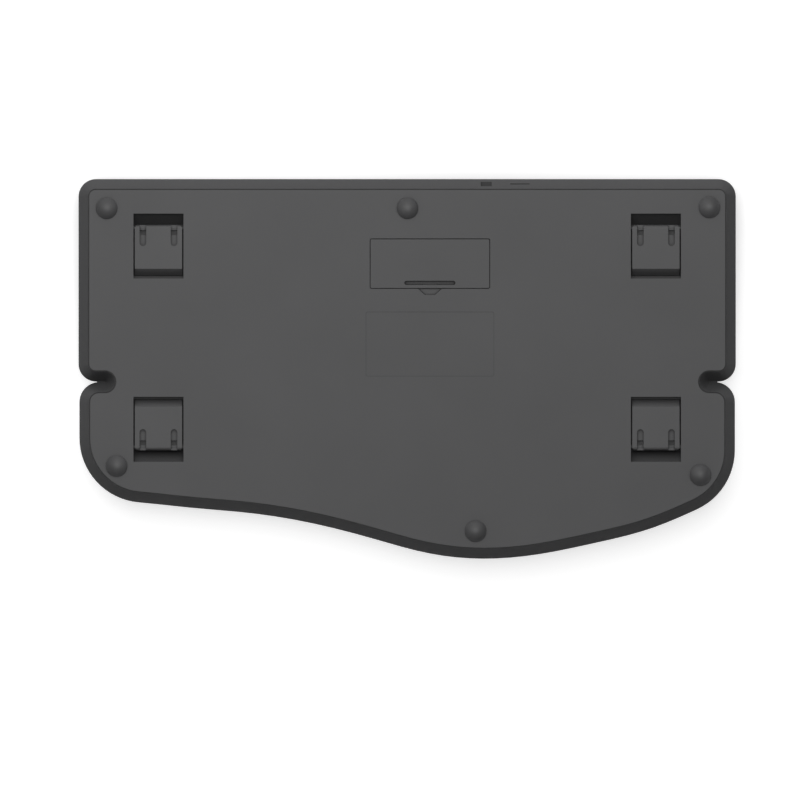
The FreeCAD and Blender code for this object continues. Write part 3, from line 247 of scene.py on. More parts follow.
plate_metal = metal("plate_metal", (0.55, 0.56, 0.57), rough=0.35)
membrane_film = plastic("membrane_film", (0.66, 0.69, 0.68), rough=0.2, grain=500.0, depth=0.004)
circuit_board = plastic("circuit_board", (0.02, 0.14, 0.06), rough=0.3, grain=900.0, depth=0.01, spread=0.1)
lens_plastic = plastic("lens", (0.7, 0.74, 0.74), rough=0.15, grain=900.0, depth=0.002, spread=0.02)
legend_ink = plastic("legend_ink", (0.62, 0.62, 0.63), rough=0.5, grain=3000.0, depth=0.004, spread=0.02)

NODE_MATERIALS = {
    "bottom_case": case_plastic, "top_case": case_plastic, "palm_rest_base": palm_plastic,
    "battery_cover": cover_plastic, "battery_cells": cell_jacket, "battery_contacts": contact_metal,
    "usb_receiver": receiver_plastic, "power_switch": switch_plastic, "controller_board": circuit_board,
    "indicator_lenses": lens_plastic, "case_screws": screw_steel, "key_deck": inner_plastic,
    "rubber_domes": dome_rubber, "membrane_sheet": membrane_film, "backing_plate": plate_metal,
    "leg_rear_left": leg_plastic, "leg_rear_right": leg_plastic, "leg_front_left": leg_plastic,
    "leg_front_right": leg_plastic, "rubber_feet": foot_rubber, "palm_rest_pad": pad_skin,
}
for node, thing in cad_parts.items():
    thing.data.materials.clear()
    thing.data.materials.append(NODE_MATERIALS.get(node, key_plastic))


def in_scene(name, data):
    """New object in the scene."""
    thing = bpy.data.objects.new(name, data)
    bpy.context.scene.collection.objects.link(thing)
    return thing


def applied(thing):
    """The object's mesh with its modifiers in it."""
    bpy.context.view_layer.update()
    return bpy.data.meshes.new_from_object(thing.evaluated_get(bpy.context.evaluated_depsgraph_get()))


def mesh_data(name, mesh):
    """Mesh data from a bmesh, which is freed."""
    data = bpy.data.meshes.new(name)
    mesh.to_mesh(data)
    mesh.free()
    return data


def skin(mesh, lower, upper):
    """Faces between two closed lines with as many vertices."""
    for i in range(len(lower)):
        j = (i + 1) % len(lower)
        mesh.faces.new((lower[i], lower[j], upper[j], upper[i]))


def capped(mesh, lower, upper):
    """Closed prism between two lines of vertices."""
    mesh.faces.new(lower[::-1])
    mesh.faces.new(upper)
    skin(mesh, lower, upper)


def new_piece(name, mesh, body, material, smooth=True):
    """Visible piece that rides on a body."""
    thing = in_scene(name, mesh)
    mesh.materials.append(material)
    if smooth:
        for polygon in mesh.polygons:
            polygon.use_smooth = True
    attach(thing, body)
    return thing


# The wave

def bump(x):
    """Share of the wave's height at a place from side to side."""
    share = (x - WAVE_X) / WAVE_HALF
    return math.cos(share * math.pi / 2) ** 2 if abs(share) < 1 else 0.0


def bump_slope(x):
    """How fast that share changes along x."""
    share = (x - WAVE_X) / WAVE_HALF
    return -math.pi / 2 / WAVE_HALF * math.sin(share * math.pi) if abs(share) < 1 else 0.0


def smile(x):
    """How far a row of keys is bent to the front."""
    return -SMILE_DEPTH * bump(x)


def rim_z(x, y):
    """Height of the surface that carries the key field."""
    return SIDE_RIM_Z + WAVE_RISE * bump(x) + (y - CLEFT_Y) * SLOPE


# Keys

def same(node, legends):
    """Keys of one pitch that share a node."""
    return [(node, 1.0, legend) for legend in legends]


MAIN_ROWS = [
    [("left_ctrl_key", 1.25, "ctrl"), ("meta_key", 1.25, "meta"), ("left_alt_key", 1.25, "alt"),
     ("space_bar", 5.75, ""), ("right_alt_key", 1.25, "alt"), ("right_ctrl_key", 1.25, "ctrl"),
     ("left_arrow_key", 1.0, "<"), ("down_arrow_key", 1.0, "v"), ("right_arrow_key", 1.0, ">")],
    [("left_shift_key", 2.25, "shift")] + same("low_letter_keys_left", "ZXCVB")
    + same("low_letter_keys_right", ["N", "M", "<|,", ">|.", "?|/"])
    + [("right_shift_key", 1.75, "shift"), ("up_arrow_key", 1.0, "^")],
    [("caps_lock_key", 1.75, "caps lock")] + same("home_letter_keys_left", "ASDFG")
    + same("home_letter_keys_right", ["H", "J", "K", "L", ":|;", "\"|'"])
    + [("enter_key", 2.25, "enter")],
    [("tab_key", 1.5, "tab")] + same("top_letter_keys_left", "QWERT")
    + same("top_letter_keys_right", ["Y", "U", "I", "O", "P", "{|[", "}|]"])
    + [("backslash_key", 1.5, "||\\")],
    same("number_keys_left", ["~|`", "!|1", "@|2", "#|3", "$|4", "%|5"])
    + same("number_keys_right", ["^|6", "&|7", "*|8", "(|9", ")|0", "_|-", "+|="])
    + [("backspace_key", 2.0, "backspace")],
    [("escape_key", 1.0, "esc")] + same("function_keys_left", ["F%d" % i for i in range(1, 7)])
    + same("function_keys_right", ["F%d" % i for i in range(7, 13)])
    + [("insert_key", 1.0, "ins"), ("delete_key", 1.0, "del")],
]
NUMBER_KEYS = [("num_zero_key", 0, 0, 2, 1, "0"), ("number_pad_digits", 2, 0, 1, 1, "."),
               ("num_enter_key", 3, 0, 1, 2, "enter"), ("num_plus_key", 3, 2, 1, 2, "+")]
for row, digits in ((1, "123"), (2, "456"), (3, "789")):
    NUMBER_KEYS += [("number_pad_digits", column, row, 1, 1, digits[column]) for column in range(3)]
for column, legend in enumerate(["num", "/", "*", "-"]):
    NUMBER_KEYS.append(("number_pad_operators", column, 4, 1, 1, legend))
for column, legend in enumerate(["home", "end", "pg up", "pg dn"]):
    NUMBER_KEYS.append(("navigation_keys", column, 5, 1, 1, legend))


def row_place(row, deep):
    """Middle and depth of a key that begins in a row, the low function row being the last."""
    if row == 5:
        return FIELD_FRONT + 5 * PITCH + FUNCTION_PITCH / 2, FUNCTION_PITCH - KEY_GAP
    return FIELD_FRONT + (row + deep / 2) * PITCH, deep * PITCH - KEY_GAP


def key_list():
    """Every key: node, middle in plan before the bend, width, depth and legend."""
    keys = []
    for row, entries in enumerate(MAIN_ROWS):
        x = FIELD_LEFT
        y, depth = row_place(row, 1)
        for node, pitches, legend in entries:
            width = pitches * PITCH
            keys.append((node, x + width / 2, y, width - KEY_GAP, depth, legend))
            x += width
    for node, column, row, wide, deep, legend in NUMBER_KEYS:
        y, depth = row_place(row, deep)
        x = NUMBER_LEFT + (column + wide / 2) * PITCH
        keys.append((node, x, y, wide * PITCH - KEY_GAP, depth, legend))
    return keys


def key_matrix(x, y):
    """Place of a key's cap on the wave, tilted with it."""
    centre = Vector((x, y + smile(x), rim_z(x, y + smile(x)) + SKIRT_LIFT))
    slope_x = WAVE_RISE * bump_slope(x)
    normal = Vector((-slope_x, -SLOPE, 1)).normalized()
    dip = -SMILE_DEPTH * bump_slope(x)
    along = Vector((1, dip, slope_x + dip * SLOPE)).normalized()
    across = normal.cross(along)
    matrix = Matrix((along, across, normal)).transposed().to_4x4()
    matrix.translation = centre
    return matrix


def ring(half_x, half_y, radius, steps=5):
    """Points round a rounded rectangle, counter-clockwise."""
    radius = min(radius, half_x, half_y)
    points = []
    for quarter, (sx, sy) in enumerate(((1, 1), (-1, 1), (-1, -1), (1, -1))):
        for i in range(steps + 1):
            angle = math.pi / 2 * (quarter + i / steps)
            points.append((sx * (half_x - radius) + radius * math.cos(angle),
                           sy * (half_y - radius) + radius * math.sin(angle)))
    return points


def top_height(x, half_top, dished):
    """Height of a cap's top over its skirt."""
    return CAP_HEIGHT - (DISH * max(0.0, 1 - (x / half_top) ** 2) if dished else 0.0)


def cap_rings(width, depth, dished):
    """Rings of a hollow cap from the middle of its ceiling, down its inside, up its outside, to its top."""
    half_x, half_y = width / 2, depth / 2
    half_top = half_x - CAP_TAPER
    in_x, in_y = half_x - CAP_WALL, half_y - CAP_WALL
    ceiling = CAP_HEIGHT - DISH - CAP_WALL
    rings = []
    for share in (0.02, 0.5, 1.0):
        rings.append([(px * share, py * share, ceiling)
                      for px, py in ring(in_x - CAP_INNER_DRAFT, in_y - CAP_INNER_DRAFT, CAP_INNER_R)])
    rings.append([(px, py, 0.0) for px, py in ring(in_x, in_y, CAP_INNER_R)])
    for shrink, z in ((CAP_SKIRT_BEVEL, 0.0), (0.0, CAP_SKIRT_BEVEL)):
        rings.append([(px, py, z) for px, py in ring(half_x - shrink, half_y - shrink, CAP_SKIRT_R)])
    side = CAP_HEIGHT - CAP_EDGE
    for share in (0.33, 0.66, 1.0):
        shrink = CAP_TAPER * CAP_SIDE_SHARE * share
        rings.append([(px, py, CAP_SKIRT_BEVEL + (side - CAP_SKIRT_BEVEL) * share)
                      for px, py in ring(half_x - shrink, half_y - shrink, CAP_SIDE_R)])
    base = CAP_TAPER * CAP_SIDE_SHARE
    for angle in (22, 45, 68, 90):
        a = math.radians(angle)
        shrink = base + CAP_EDGE * (1 - math.cos(a)) * CAP_EDGE_SPREAD
        z = side + CAP_EDGE * math.sin(a)
        points = []
        for px, py in ring(half_x - shrink, half_y - shrink, CAP_TOP_R):
            drop = (CAP_HEIGHT - top_height(px, half_top, dished)) * math.sin(a)
            points.append((px, py, z - drop))
        rings.append(points)
    last_x, last_y = (half - base - CAP_EDGE * CAP_EDGE_SPREAD for half in (half_x, half_y))
    for share in (0.85, 0.65, 0.45, 0.25, 0.02):
        rings.append([(px * share, py * share, top_height(px * share, half_top, dished))
                      for px, py in ring(last_x, last_y, CAP_TOP_R)])
    return rings


def add_rings(mesh, rings, place):
    """Closed shape through rings of points."""
    loops = [[mesh.verts.new(place(*point)) for point in points] for points in rings]
    mesh.faces.new(loops[0][::-1])
    for lower, upper in zip(loops, loops[1:]):
        skin(mesh, lower, upper)
    mesh.faces.new(loops[-1])


def add_post(mesh, matrix, top):
    """Square post under a cap, upright in its guide."""
    half = PLUNGER / 2
    low = POST_FOOT - SKIRT_LIFT
    corners = [(-half, -half), (half, -half), (half, half), (-half, half)]
    lower = [mesh.verts.new(matrix @ Vector((x, y, low))) for x, y in corners]
    upper = [mesh.verts.new(matrix @ Vector((x, y, top))) for x, y in corners]
    capped(mesh, lower, upper)


def tilted(matrix):
    """Places a point of a cap that isn't bent."""
    def place(x, y, z):
        return matrix @ Vector((x, y, z))
    return place


def bent(x0, y0):
    """Places a point of the space bar: its plan follows the smile and its height the wave."""
    def place(x, y, z):
        px = x0 + x
        py = y0 + y + smile(px)
        return Vector((px, py, rim_z(px, py) + SKIRT_LIFT + z))
    return place


def long_rings(rings, pieces=12):
    """Splits the long sides of each ring, so that they can follow a curve."""
    result = []
    for points in rings:
        longer = []
        for i, point in enumerate(points):
            longer.append(point)
            after = points[(i + 1) % len(points)]
            if abs(after[0] - point[0]) > abs(after[1] - point[1]) and (i + 1) % 6 == 0:
                for k in range(1, pieces):
                    share = k / pieces
                    longer.append(tuple(a + (b - a) * share for a, b in zip(point, after)))
        result.append(longer)
    return result


INK_DEPTH = 0.03 * MM
INK_LIFT = 0.012 * MM
TEXT_STEPS = 3


def text_mesh(text, size):
    """Solid letters in the default typeface."""
    curve = bpy.data.curves.new("text", "FONT")
    curve.body = text
    curve.size = size
    curve.align_x = "CENTER"
    curve.align_y = "CENTER"
    curve.extrude = INK_DEPTH
    curve.resolution_u = TEXT_STEPS
    thing = in_scene("text", curve)
    mesh = applied(thing)
    bpy.data.objects.remove(thing)
    return mesh


text_cache = {}


def add_text(target, text, size, cx, cy, place, height):
    """Letters laid on a cap's top. A face that the mesh holds already is left out."""
    key = (text, size)
    if key not in text_cache:
        mesh = text_mesh(text, size)
        text_cache[key] = ([v.co.copy() for v in mesh.vertices], [tuple(p.vertices) for p in mesh.polygons])
    points, faces = text_cache[key]
    made = [target.verts.new(place(p.x + cx, p.y + cy, p.z + height(p.x + cx) + INK_LIFT))
            for p in points]
    for face in faces:
        try:
            target.faces.new([made[i] for i in face])
        except ValueError:
            pass


ARROWS = {"<": 90, "v": 180, ">": -90, "^": 0}
ARROW_CORNERS = ((0.0, 1.1), (-1.0, -0.7), (1.0, -0.7))
LETTER_SIZE = 4.2 * MM
SIGN_SIZE = 3.4 * MM
WORD_SIZE = 3.0 * MM
LONG_WORD_SIZE = 2.6 * MM
LEGEND_LEFT = 5.6 * MM
LETTER_RISE = 2.6 * MM
UPPER_SIGN_RISE = 3.4 * MM
LOWER_SIGN_DROP = 2.2 * MM
ARROW_SINK = 0.02 * MM
ARROW_RISE = 0.04 * MM


def add_arrow(target, turn, cx, cy, place, height):
    """Small solid triangle, for the arrow keys."""
    a = math.radians(turn)
    corners = []
    for px, py in ARROW_CORNERS:
        x = (px * math.cos(a) - py * math.sin(a)) * MM + cx
        y = (px * math.sin(a) + py * math.cos(a)) * MM + cy
        corners.append((x, y))
    lower = [target.verts.new(place(x, y, height(x) - ARROW_SINK)) for x, y in corners]
    upper = [target.verts.new(place(x, y, height(x) + ARROW_RISE)) for x, y in corners]
    capped(target, lower, upper)


def add_legend(target, legend, node, width, depth, place, height):
    """Prints a key's legend: an arrow, two signs, one letter or a word."""
    left = -width / 2 + LEGEND_LEFT
    if "arrow" in node:
        add_arrow(target, ARROWS[legend], 0, 0, place, height)
    elif "|" in legend:
        upper, lower = legend.rsplit("|", 1) if legend != "||\\" else ("|", "\\")
        add_text(target, upper, SIGN_SIZE, left, UPPER_SIGN_RISE, place, height)
        add_text(target, lower, SIGN_SIZE, left, -LOWER_SIGN_DROP, place, height)
    elif len(legend) == 1:
        add_text(target, legend, LETTER_SIZE, left, LETTER_RISE if depth < PITCH else 0.0, place, height)
    else:
        size = LONG_WORD_SIZE if len(legend) > 3 else WORD_SIZE
        add_text(target, legend, size, 0.0, 0.0, place, height)


def add_key(cap, node, x, y, width, depth):
    """Cap with its post. Gives what places a point on the cap, and the height of its top."""
    dished = width < DISHED_PITCHES * PITCH
    half_top = width / 2 - CAP_TAPER
    if node == "space_bar":
        place = bent(x, y)
        add_rings(cap, long_rings(cap_rings(width, depth, False)), place)
    else:
        place = tilted(key_matrix(x, y))
        add_rings(cap, cap_rings(width, depth, dished), place)
    upright = Matrix.Translation(Vector((x, y + smile(x), rim_z(x, y + smile(x)) + SKIRT_LIFT)))
    upright = upright @ Matrix.Rotation(math.atan(-SMILE_DEPTH * bump_slope(x)), 4, "Z")
    add_post(cap, upright, CAP_HEIGHT - DISH - POST_SINK)

    def height(px):
        return top_height(px, half_top, dished)

    return place, height


caps, inks = {}, {}
for node, x, y, width, depth, legend in key_list():
    caps.setdefault(node, bmesh.new())
    place, height = add_key(caps[node], node, x, y, width, depth)
    if legend:
        inks.setdefault(node, bmesh.new())
        add_legend(inks[node], legend, node, width, depth, place, height)

for node, mesh in caps.items():
    bmesh.ops.recalc_face_normals(mesh, faces=mesh.faces)
    piece = new_piece(node + "_cap", mesh_data(node + "_cap", mesh), node, key_plastic)
    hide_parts(node)
for node, mesh in inks.items():
    name = node + "_legend"
    new_piece(name, mesh_data(name, mesh), node, legend_ink, smooth=False)


# Feet

def lathe(mesh, centre, profile, steps=48):
    """Turns a profile of radius and height about an upright axis."""
    loops = []
    for radius, z in profile:
        loops.append([mesh.verts.new((centre[0] + radius * math.cos(2 * math.pi * i / steps),
                                      centre[1] + radius * math.sin(2 * math.pi * i / steps), z))
                      for i in range(steps)])
    for lower, upper in zip(loops, loops[1:]):
        skin(mesh, lower, upper)
    mesh.faces.new(loops[0][::-1])
    mesh.faces.new(loops[-1])


FOOT_CURVE = (FOOT_R ** 2 + FOOT_DROP ** 2) / (2 * FOOT_DROP)
FOOT_SEAT = 0.6 * MM
FOOT_STEPS = 14
TIP_R = 0.05 * MM
dome = []
for i in range(FOOT_STEPS + 1):
    radius = max(FOOT_R * i / FOOT_STEPS, TIP_R)
    dome.append((radius, FOOT_CURVE - math.sqrt(FOOT_CURVE ** 2 - radius ** 2)))
dome += [(FOOT_R, FOOT_DROP + FOOT_SEAT), (TIP_R, FOOT_DROP + FOOT_SEAT)]
mesh = bmesh.new()
for x, y in FEET:
    lathe(mesh, (x, y), dome)
bmesh.ops.recalc_face_normals(mesh, faces=mesh.faces)
feet = new_piece("domed_feet", mesh_data("domed_feet", mesh), "body", foot_rubber)
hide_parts("rubber_feet")


# Switch window: a thin dark sheet on its walls as painted shade

REAR_Y = 108.6 * MM
BAND_INSET = 5.8 * MM
BAND_RISE = 7.0 * MM
WINDOW = (-48.35 * MM, -42.05 * MM, 4.5 * MM, 7.5 * MM)
WINDOW_SHADE_WALL = 0.2 * MM
WINDOW_SHADE_DEPTH = 2.4 * MM
WINDOW_SHADE_GAP = 0.02 * MM
WINDOW_SHADE_SINK = 0.03 * MM


def band_y(z):
    """How far back the rear band reaches at a height."""
    return REAR_Y - BAND_INSET * (1 - (z - FOOT_DROP) / BAND_RISE)


mesh = bmesh.new()
loops = []
for inset, depth in ((WINDOW_SHADE_GAP, WINDOW_SHADE_SINK), (WINDOW_SHADE_WALL, WINDOW_SHADE_SINK),
                     (WINDOW_SHADE_WALL, WINDOW_SHADE_DEPTH), (WINDOW_SHADE_GAP, WINDOW_SHADE_DEPTH)):
    x0, x1, z0, z1 = WINDOW[0] + inset, WINDOW[1] - inset, WINDOW[2] + inset, WINDOW[3] - inset
    corners = ((x0, z0), (x1, z0), (x1, z1), (x0, z1))
    loops.append([mesh.verts.new((x, band_y(z) - depth, z)) for x, z in corners])
for k in range(4):
    skin(mesh, loops[k], loops[(k + 1) % 4])
bmesh.ops.recalc_face_normals(mesh, faces=mesh.faces)
# Dark sheet standing in for the shade on the window's walls.
window_shade = mesh_data("switch_window_shade", mesh)
new_piece("switch_window_shade", window_shade, "body", switch_plastic, smooth=False)


# Palm rest pad

PAD_STEP = 2.4 * MM
PAD_UNDER_STEP = 6.0 * MM
PAD_ROUND = 1.5 * MM
PAD_EVENING = 8
PAD_SWELL = 1.0 * MM
PAD_PRESSURE = 6.0
PAD_VERTEX_MASS = 0.002
PAD_FRAMES = 20
WALL_STEEPNESS = 0.3
HELD_STEEPNESS = 0.1
RIM_CLEARANCE = 0.6
SAME_POINT = 1e-7
NO_LENGTH = 1e-9
# In millimetres. It scales a direction before MM does, since the cloth answers even to a change of rounding.
RAY_INSET = 0.05


def wall_top(slab):
    """Line between a slab's wall and its top, in order and counter-clockwise."""
    beside = {}
    for edge in slab.edges:
        steep = sorted(face.normal.z for face in edge.link_faces)
        if len(steep) == 2 and steep[1] > WALL_STEEPNESS > abs(steep[0]):
            one, other = edge.verts
            beside.setdefault(one, []).append(other)
            beside.setdefault(other, []).append(one)
    line = [next(iter(beside))]
    ahead = beside[line[0]][0]
    while ahead is not line[0]:
        line.append(ahead)
        ahead = next(v for v in beside[ahead] if v is not line[-2])
    points = [v.co.copy() for v in line]
    area = sum(a.x * b.y - b.x * a.y for a, b in zip(points, points[1:] + points[:1]))
    return points if area > 0 else points[::-1]


def evenly(points, step):
    """Points at even steps along a closed line."""
    lengths = [(b - a).length for a, b in zip(points, points[1:] + points[:1])]
    count = round(sum(lengths) / step)
    stride = sum(lengths) / count
    result = []
    passed, k = 0.0, 0
    for i in range(count):
        while passed + lengths[k] < i * stride:
            passed += lengths[k]
            k += 1
        result.append(points[k].lerp(points[(k + 1) % len(points)], (i * stride - passed) / lengths[k]))
    return result


def inwards(points):
    """Direction to the inside, in plan, at each point of a counter-clockwise line."""
    along = [points[(k + 1) % len(points)] - points[k - 1] for k in range(len(points))]
    return [Vector((-a.y, a.x, 0)).normalized() for a in along]


def filled(mesh, rim, step, height, upward):
    """Fills a closed line of vertices with even triangles on a surface, and gives the new vertices."""
    points = [v.co for v in rim]
    inside = inwards(points)
    near = KDTree(len(points))
    for k, point in enumerate(points):
        near.insert((point.x, point.y, 0), k)
    near.balance()
    low_x, high_x = min(p.x for p in points), max(p.x for p in points)
    low_y, high_y = min(p.y for p in points), max(p.y for p in points)
    row = step * math.sqrt(3) / 2
    inner = []
    for j in range(int((high_y - low_y) / row) + 1):
        for i in range(int((high_x - low_x) / step) + 1):
            at = Vector((low_x + (i + j % 2 / 2) * step, low_y + j * row, 0))
            spot, k, _ = near.find(at)
            if (at - spot).dot(inside[k]) > RIM_CLEARANCE * step:
                inner.append(at.to_2d())
    flat = [p.to_2d() for p in points] + inner
    edges = [(k, (k + 1) % len(points)) for k in range(len(points))]
    _, _, faces, origin, _, _ = delaunay_2d_cdt(flat, edges, [], 1, SAME_POINT)
    new = [mesh.verts.new((p.x, p.y, height(p))) for p in inner]
    verts = list(rim) + new
    for face in faces:
        corners = [verts[origin[k][0]] for k in face]
        mesh.faces.new(corners if upward else corners[::-1])
    return new


def soft_slab(source):
    """The slab in even triangles, with its top edge rounded and its top evened out."""
    slab = bmesh.new()
    slab.from_mesh(source.data)
    slab.transform(source.matrix_world)
    bmesh.ops.remove_doubles(slab, verts=slab.verts, dist=0.001 * MM)
    slab.normal_update()
    tree = BVHTree.FromBMesh(slab)
    rim = evenly(wall_top(slab), PAD_STEP)
    inside = inwards(rim)

    def top(p):
        return tree.ray_cast(Vector((p[0], p[1], 1.0)), Vector((0, 0, -1)))[0].z

    def bottom(p):
        return tree.ray_cast(Vector((p[0], p[1], -1.0)), Vector((0, 0, 1)))[0].z

    mesh = bmesh.new()
    rings = [[mesh.verts.new((p.x, p.y, bottom(p + d * RAY_INSET * MM))) for p, d in zip(rim, inside)]]
    for turn in (0, 30, 60, 90):
        depth = PAD_ROUND * (1 - math.cos(math.radians(turn)))
        drop = PAD_ROUND * (1 - math.sin(math.radians(turn)))
        spots = [p + d * depth for p, d in zip(rim, inside)]
        rings.append([mesh.verts.new((s.x, s.y, top(s + d * RAY_INSET * MM) - drop))
                      for s, d in zip(spots, inside)])
    for lower, upper in zip(rings, rings[1:]):
        skin(mesh, lower, upper)
    filled(mesh, rings[0], PAD_UNDER_STEP, bottom, False)
    upper_side = filled(mesh, rings[-1], PAD_STEP, top, True)
    for _ in range(PAD_EVENING):
        levels = [sum(e.other_vert(v).co.z for e in v.link_edges) / len(v.link_edges) for v in upper_side]
        for v, z in zip(upper_side, levels):
            v.co.z = z
    mesh.normal_update()
    slab.free()
    return mesh_data("soft_slab", mesh)


def swollen(mesh, most):
    """Blows a closed mesh up as cloth, with its underside held. The moves are limited, then evened out."""
    thing = in_scene("pad_cloth", mesh)
    held = thing.vertex_groups.new(name="held")
    held.add([v.index for v in mesh.vertices if v.normal.z < HELD_STEEPNESS], 1.0, "REPLACE")
    cloth = thing.modifiers.new("cloth", "CLOTH")
    cloth.settings.mass = PAD_VERTEX_MASS
    cloth.settings.use_pressure = True
    cloth.settings.uniform_pressure_force = PAD_PRESSURE
    cloth.settings.vertex_group_mass = "held"
    cloth.settings.effector_weights.gravity = 0.0
    cloth.point_cache.frame_start = 1
    cloth.point_cache.frame_end = PAD_FRAMES
    for step in range(1, PAD_FRAMES + 1):
        bpy.context.scene.frame_set(step)
    blown = applied(thing)
    moves = [after.co - before.co for before, after in zip(mesh.vertices, blown.vertices)]
    moves = [move * min(1.0, most / max(move.length, NO_LENGTH)) for move in moves]
    beside = [[] for _ in moves]
    for edge in mesh.edges:
        one, other = edge.vertices
        beside[one].append(other)
        beside[other].append(one)
    for _ in range(PAD_EVENING):
        moves = [(move + sum((moves[k] for k in beside[i]), Vector())) / (len(beside[i]) + 1)
                 for i, move in enumerate(moves)]
    for vertex, move in zip(mesh.vertices, moves):
        vertex.co += move
    bpy.context.scene.frame_set(1)
    thing.modifiers.remove(cloth)
    bpy.data.objects.remove(thing)
    return mesh


pad_mesh = soft_slab(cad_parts["palm_rest_pad"])
pad_mesh = swollen(pad_mesh, PAD_SWELL)
finer = in_scene("pad_fine", pad_mesh)
finer.modifiers.new("fine", "SUBSURF").levels = 1
pad_mesh = applied(finer)
bpy.data.objects.remove(finer)
pad = new_piece("padded_rest", pad_mesh, "body", pad_skin)
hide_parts("palm_rest_pad")


# Stage, lights and camera

# Painted shadow on the sheets: how far from the object and how strongly they darken.
CONTACT_REACH = 15.0 * MM
CONTACT_SHADE = 0.7
CONTACT_SAMPLES = 16
SHEET_REACH = 4.0
KEY_TOPS_Z = 30.6 * MM
WORLD_LIGHT = 0.08
LENS = 393.2
SENSOR = 36.0
SEEN_MIDDLE = Vector((4.1 * MM, -17.8 * MM, 10.5 * MM))
EYE_DISTANCE = 5.0


def calculated(nodes, links, operation, first, second):
    """Output of a maths node, whose inputs are sockets or plain numbers."""
    node = nodes.new("ShaderNodeMath")
    node.operation = operation
    for source, socket in zip((first, second), node.inputs):
        if isinstance(source, float):
            socket.default_value = source
        else:
            links.new(source, socket)
    return node.outputs[0]


def sheet_material(name, pale, glow, in_gloss):
    """Bright from one side to the camera, and clear to all else; darker close to the object with a painted
    shadow.
    """
    material = bpy.data.materials.new(name)
    material.use_nodes = True
    nodes, links = material.node_tree.nodes, material.node_tree.links
    nodes.clear()
    output = nodes.new("ShaderNodeOutputMaterial")
    # Painted shadow: colour and glow darken where the object stands close.
    near = nodes.new("ShaderNodeAmbientOcclusion")
    near.samples = CONTACT_SAMPLES
    near.inputs["Distance"].default_value = CONTACT_REACH
    open_share = nodes.new("ShaderNodeMapRange")
    open_share.inputs["To Min"].default_value = 1 - CONTACT_SHADE
    links.new(near.outputs["AO"], open_share.inputs["Value"])
    diffuse = nodes.new("ShaderNodeBsdfDiffuse")
    glowing = nodes.new("ShaderNodeEmission")
    for level, socket in ((pale, diffuse.inputs["Color"]), (glow, glowing.inputs["Strength"])):
        links.new(calculated(nodes, links, "MULTIPLY", open_share.outputs["Result"], level), socket)
    bright = nodes.new("ShaderNodeAddShader")
    links.new(diffuse.outputs[0], bright.inputs[0])
    links.new(glowing.outputs[0], bright.inputs[1])
    clear = nodes.new("ShaderNodeBsdfTransparent")
    path = nodes.new("ShaderNodeLightPath")
    side = nodes.new("ShaderNodeNewGeometry")
    gloss = calculated(nodes, links, "MULTIPLY", path.outputs["Is Glossy Ray"], 1.0 if in_gloss else 0.0)
    seen = calculated(nodes, links, "MAXIMUM", path.outputs["Is Camera Ray"], gloss)
    seen = calculated(nodes, links, "MAXIMUM", seen, path.outputs["Is Transmission Ray"])
    front = calculated(nodes, links, "SUBTRACT", 1.0, side.outputs["Backfacing"])
    mix = nodes.new("ShaderNodeMixShader")
    links.new(calculated(nodes, links, "MULTIPLY", seen, front), mix.inputs["Fac"])
    links.new(clear.outputs[0], mix.inputs[1])
    links.new(bright.outputs[0], mix.inputs[2])
    links.new(mix.outputs[0], output.inputs[0])
    return material


def seen_plane(name, z, facing, pale, glow, in_gloss):
    """Large sheet that the camera sees, and reflections may, only from one side."""
    mesh = bmesh.new()
    corners = [(-SHEET_REACH, -SHEET_REACH), (SHEET_REACH, -SHEET_REACH),
               (SHEET_REACH, SHEET_REACH), (-SHEET_REACH, SHEET_REACH)]
    verts = [mesh.verts.new((x, y, z)) for x, y in corners]
    mesh.faces.new(verts if facing > 0 else verts[::-1])
    thing = in_scene(name, mesh_data(name, mesh))
    thing.data.materials.append(sheet_material(name, pale, glow, in_gloss))
    thing.visible_shadow = False


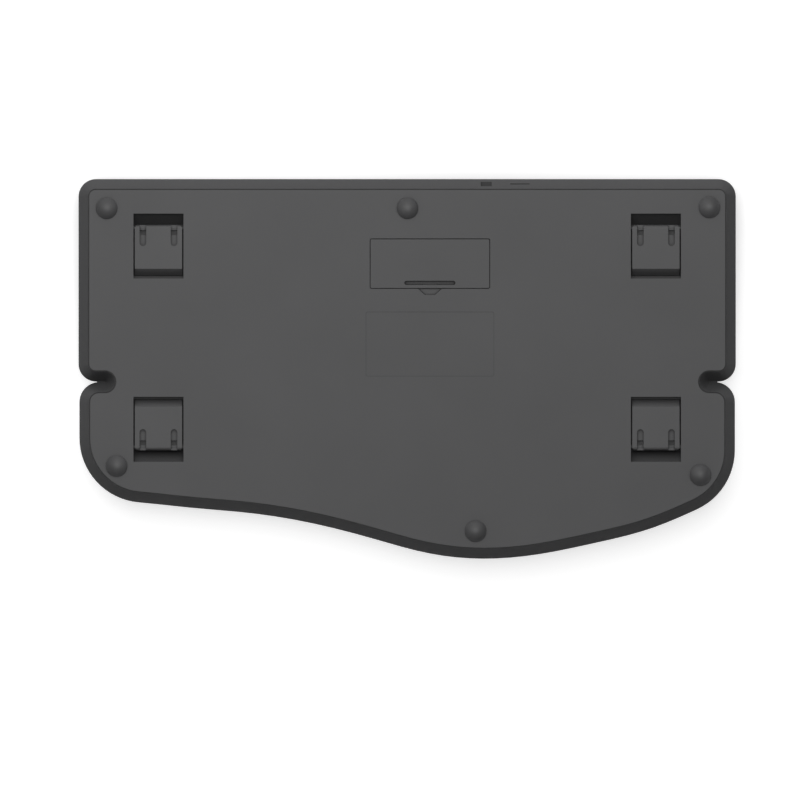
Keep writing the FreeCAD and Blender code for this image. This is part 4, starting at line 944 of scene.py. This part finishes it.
# The photograph shows the keyboard lying on its keys, so one sheet is just past the keys, seen from below.
# The other is the floor under its feet, seen from above.
seen_plane("sheet_behind_keys", KEY_TOPS_Z, facing=-1, pale=0.62, glow=0.71, in_gloss=False)
seen_plane("floor", 0.0, facing=1, pale=0.92, glow=0.1, in_gloss=True)

world = bpy.data.worlds.new("studio")
bpy.context.scene.world = world
world.use_nodes = True
nodes, links = world.node_tree.nodes, world.node_tree.links
nodes.clear()
output = nodes.new("ShaderNodeOutputWorld")
seen_sky = nodes.new("ShaderNodeBackground")
seen_sky.inputs["Color"].default_value = (1.0, 1.0, 1.0, 1.0)
lit_sky = nodes.new("ShaderNodeBackground")
lit_sky.inputs["Color"].default_value = (1.0, 1.0, 1.0, 1.0)
lit_sky.inputs["Strength"].default_value = WORLD_LIGHT
path = nodes.new("ShaderNodeLightPath")
mix = nodes.new("ShaderNodeMixShader")
links.new(path.outputs["Is Camera Ray"], mix.inputs["Fac"])
links.new(lit_sky.outputs[0], mix.inputs[1])
links.new(seen_sky.outputs[0], mix.inputs[2])
links.new(mix.outputs[0], output.inputs[0])


def sun(name, towards, strength, softness):
    """Distant soft lamp, given by the direction from the object to it."""
    lamp = bpy.data.lights.new(name, "SUN")
    lamp.energy = strength
    lamp.angle = math.radians(softness)
    thing = in_scene(name, lamp)
    thing.rotation_euler = Vector(towards).to_track_quat("Z", "Y").to_euler()


def soft_disc(name, place, power, width):
    """Round soft lamp that faces the object's middle."""
    lamp = bpy.data.lights.new(name, "AREA")
    lamp.shape = "DISK"
    lamp.size = width
    lamp.energy = power
    thing = in_scene(name, lamp)
    thing.location = place
    thing.rotation_euler = Vector(place).to_track_quat("Z", "Y").to_euler()
    thing.visible_camera = False


soft_disc("under_key", (0.13, 0.52, -0.79), power=9.9, width=1.46)
sun("under_fill", (-0.02, 0.10, -1.0), strength=0.42, softness=26)
sun("top_key", (-0.35, -0.30, 0.88), strength=2.3, softness=30)

camera = bpy.data.cameras.new("camera")
camera.lens = LENS
camera.sensor_width = SENSOR
eye = in_scene("camera", camera)
eye.location = SEEN_MIDDLE - Vector((0, 0, EYE_DISTANCE))
eye.rotation_euler = (0.0, math.pi, 0.0)
bpy.context.scene.camera = eye

bpy.context.scene.view_settings.view_transform = "Standard"
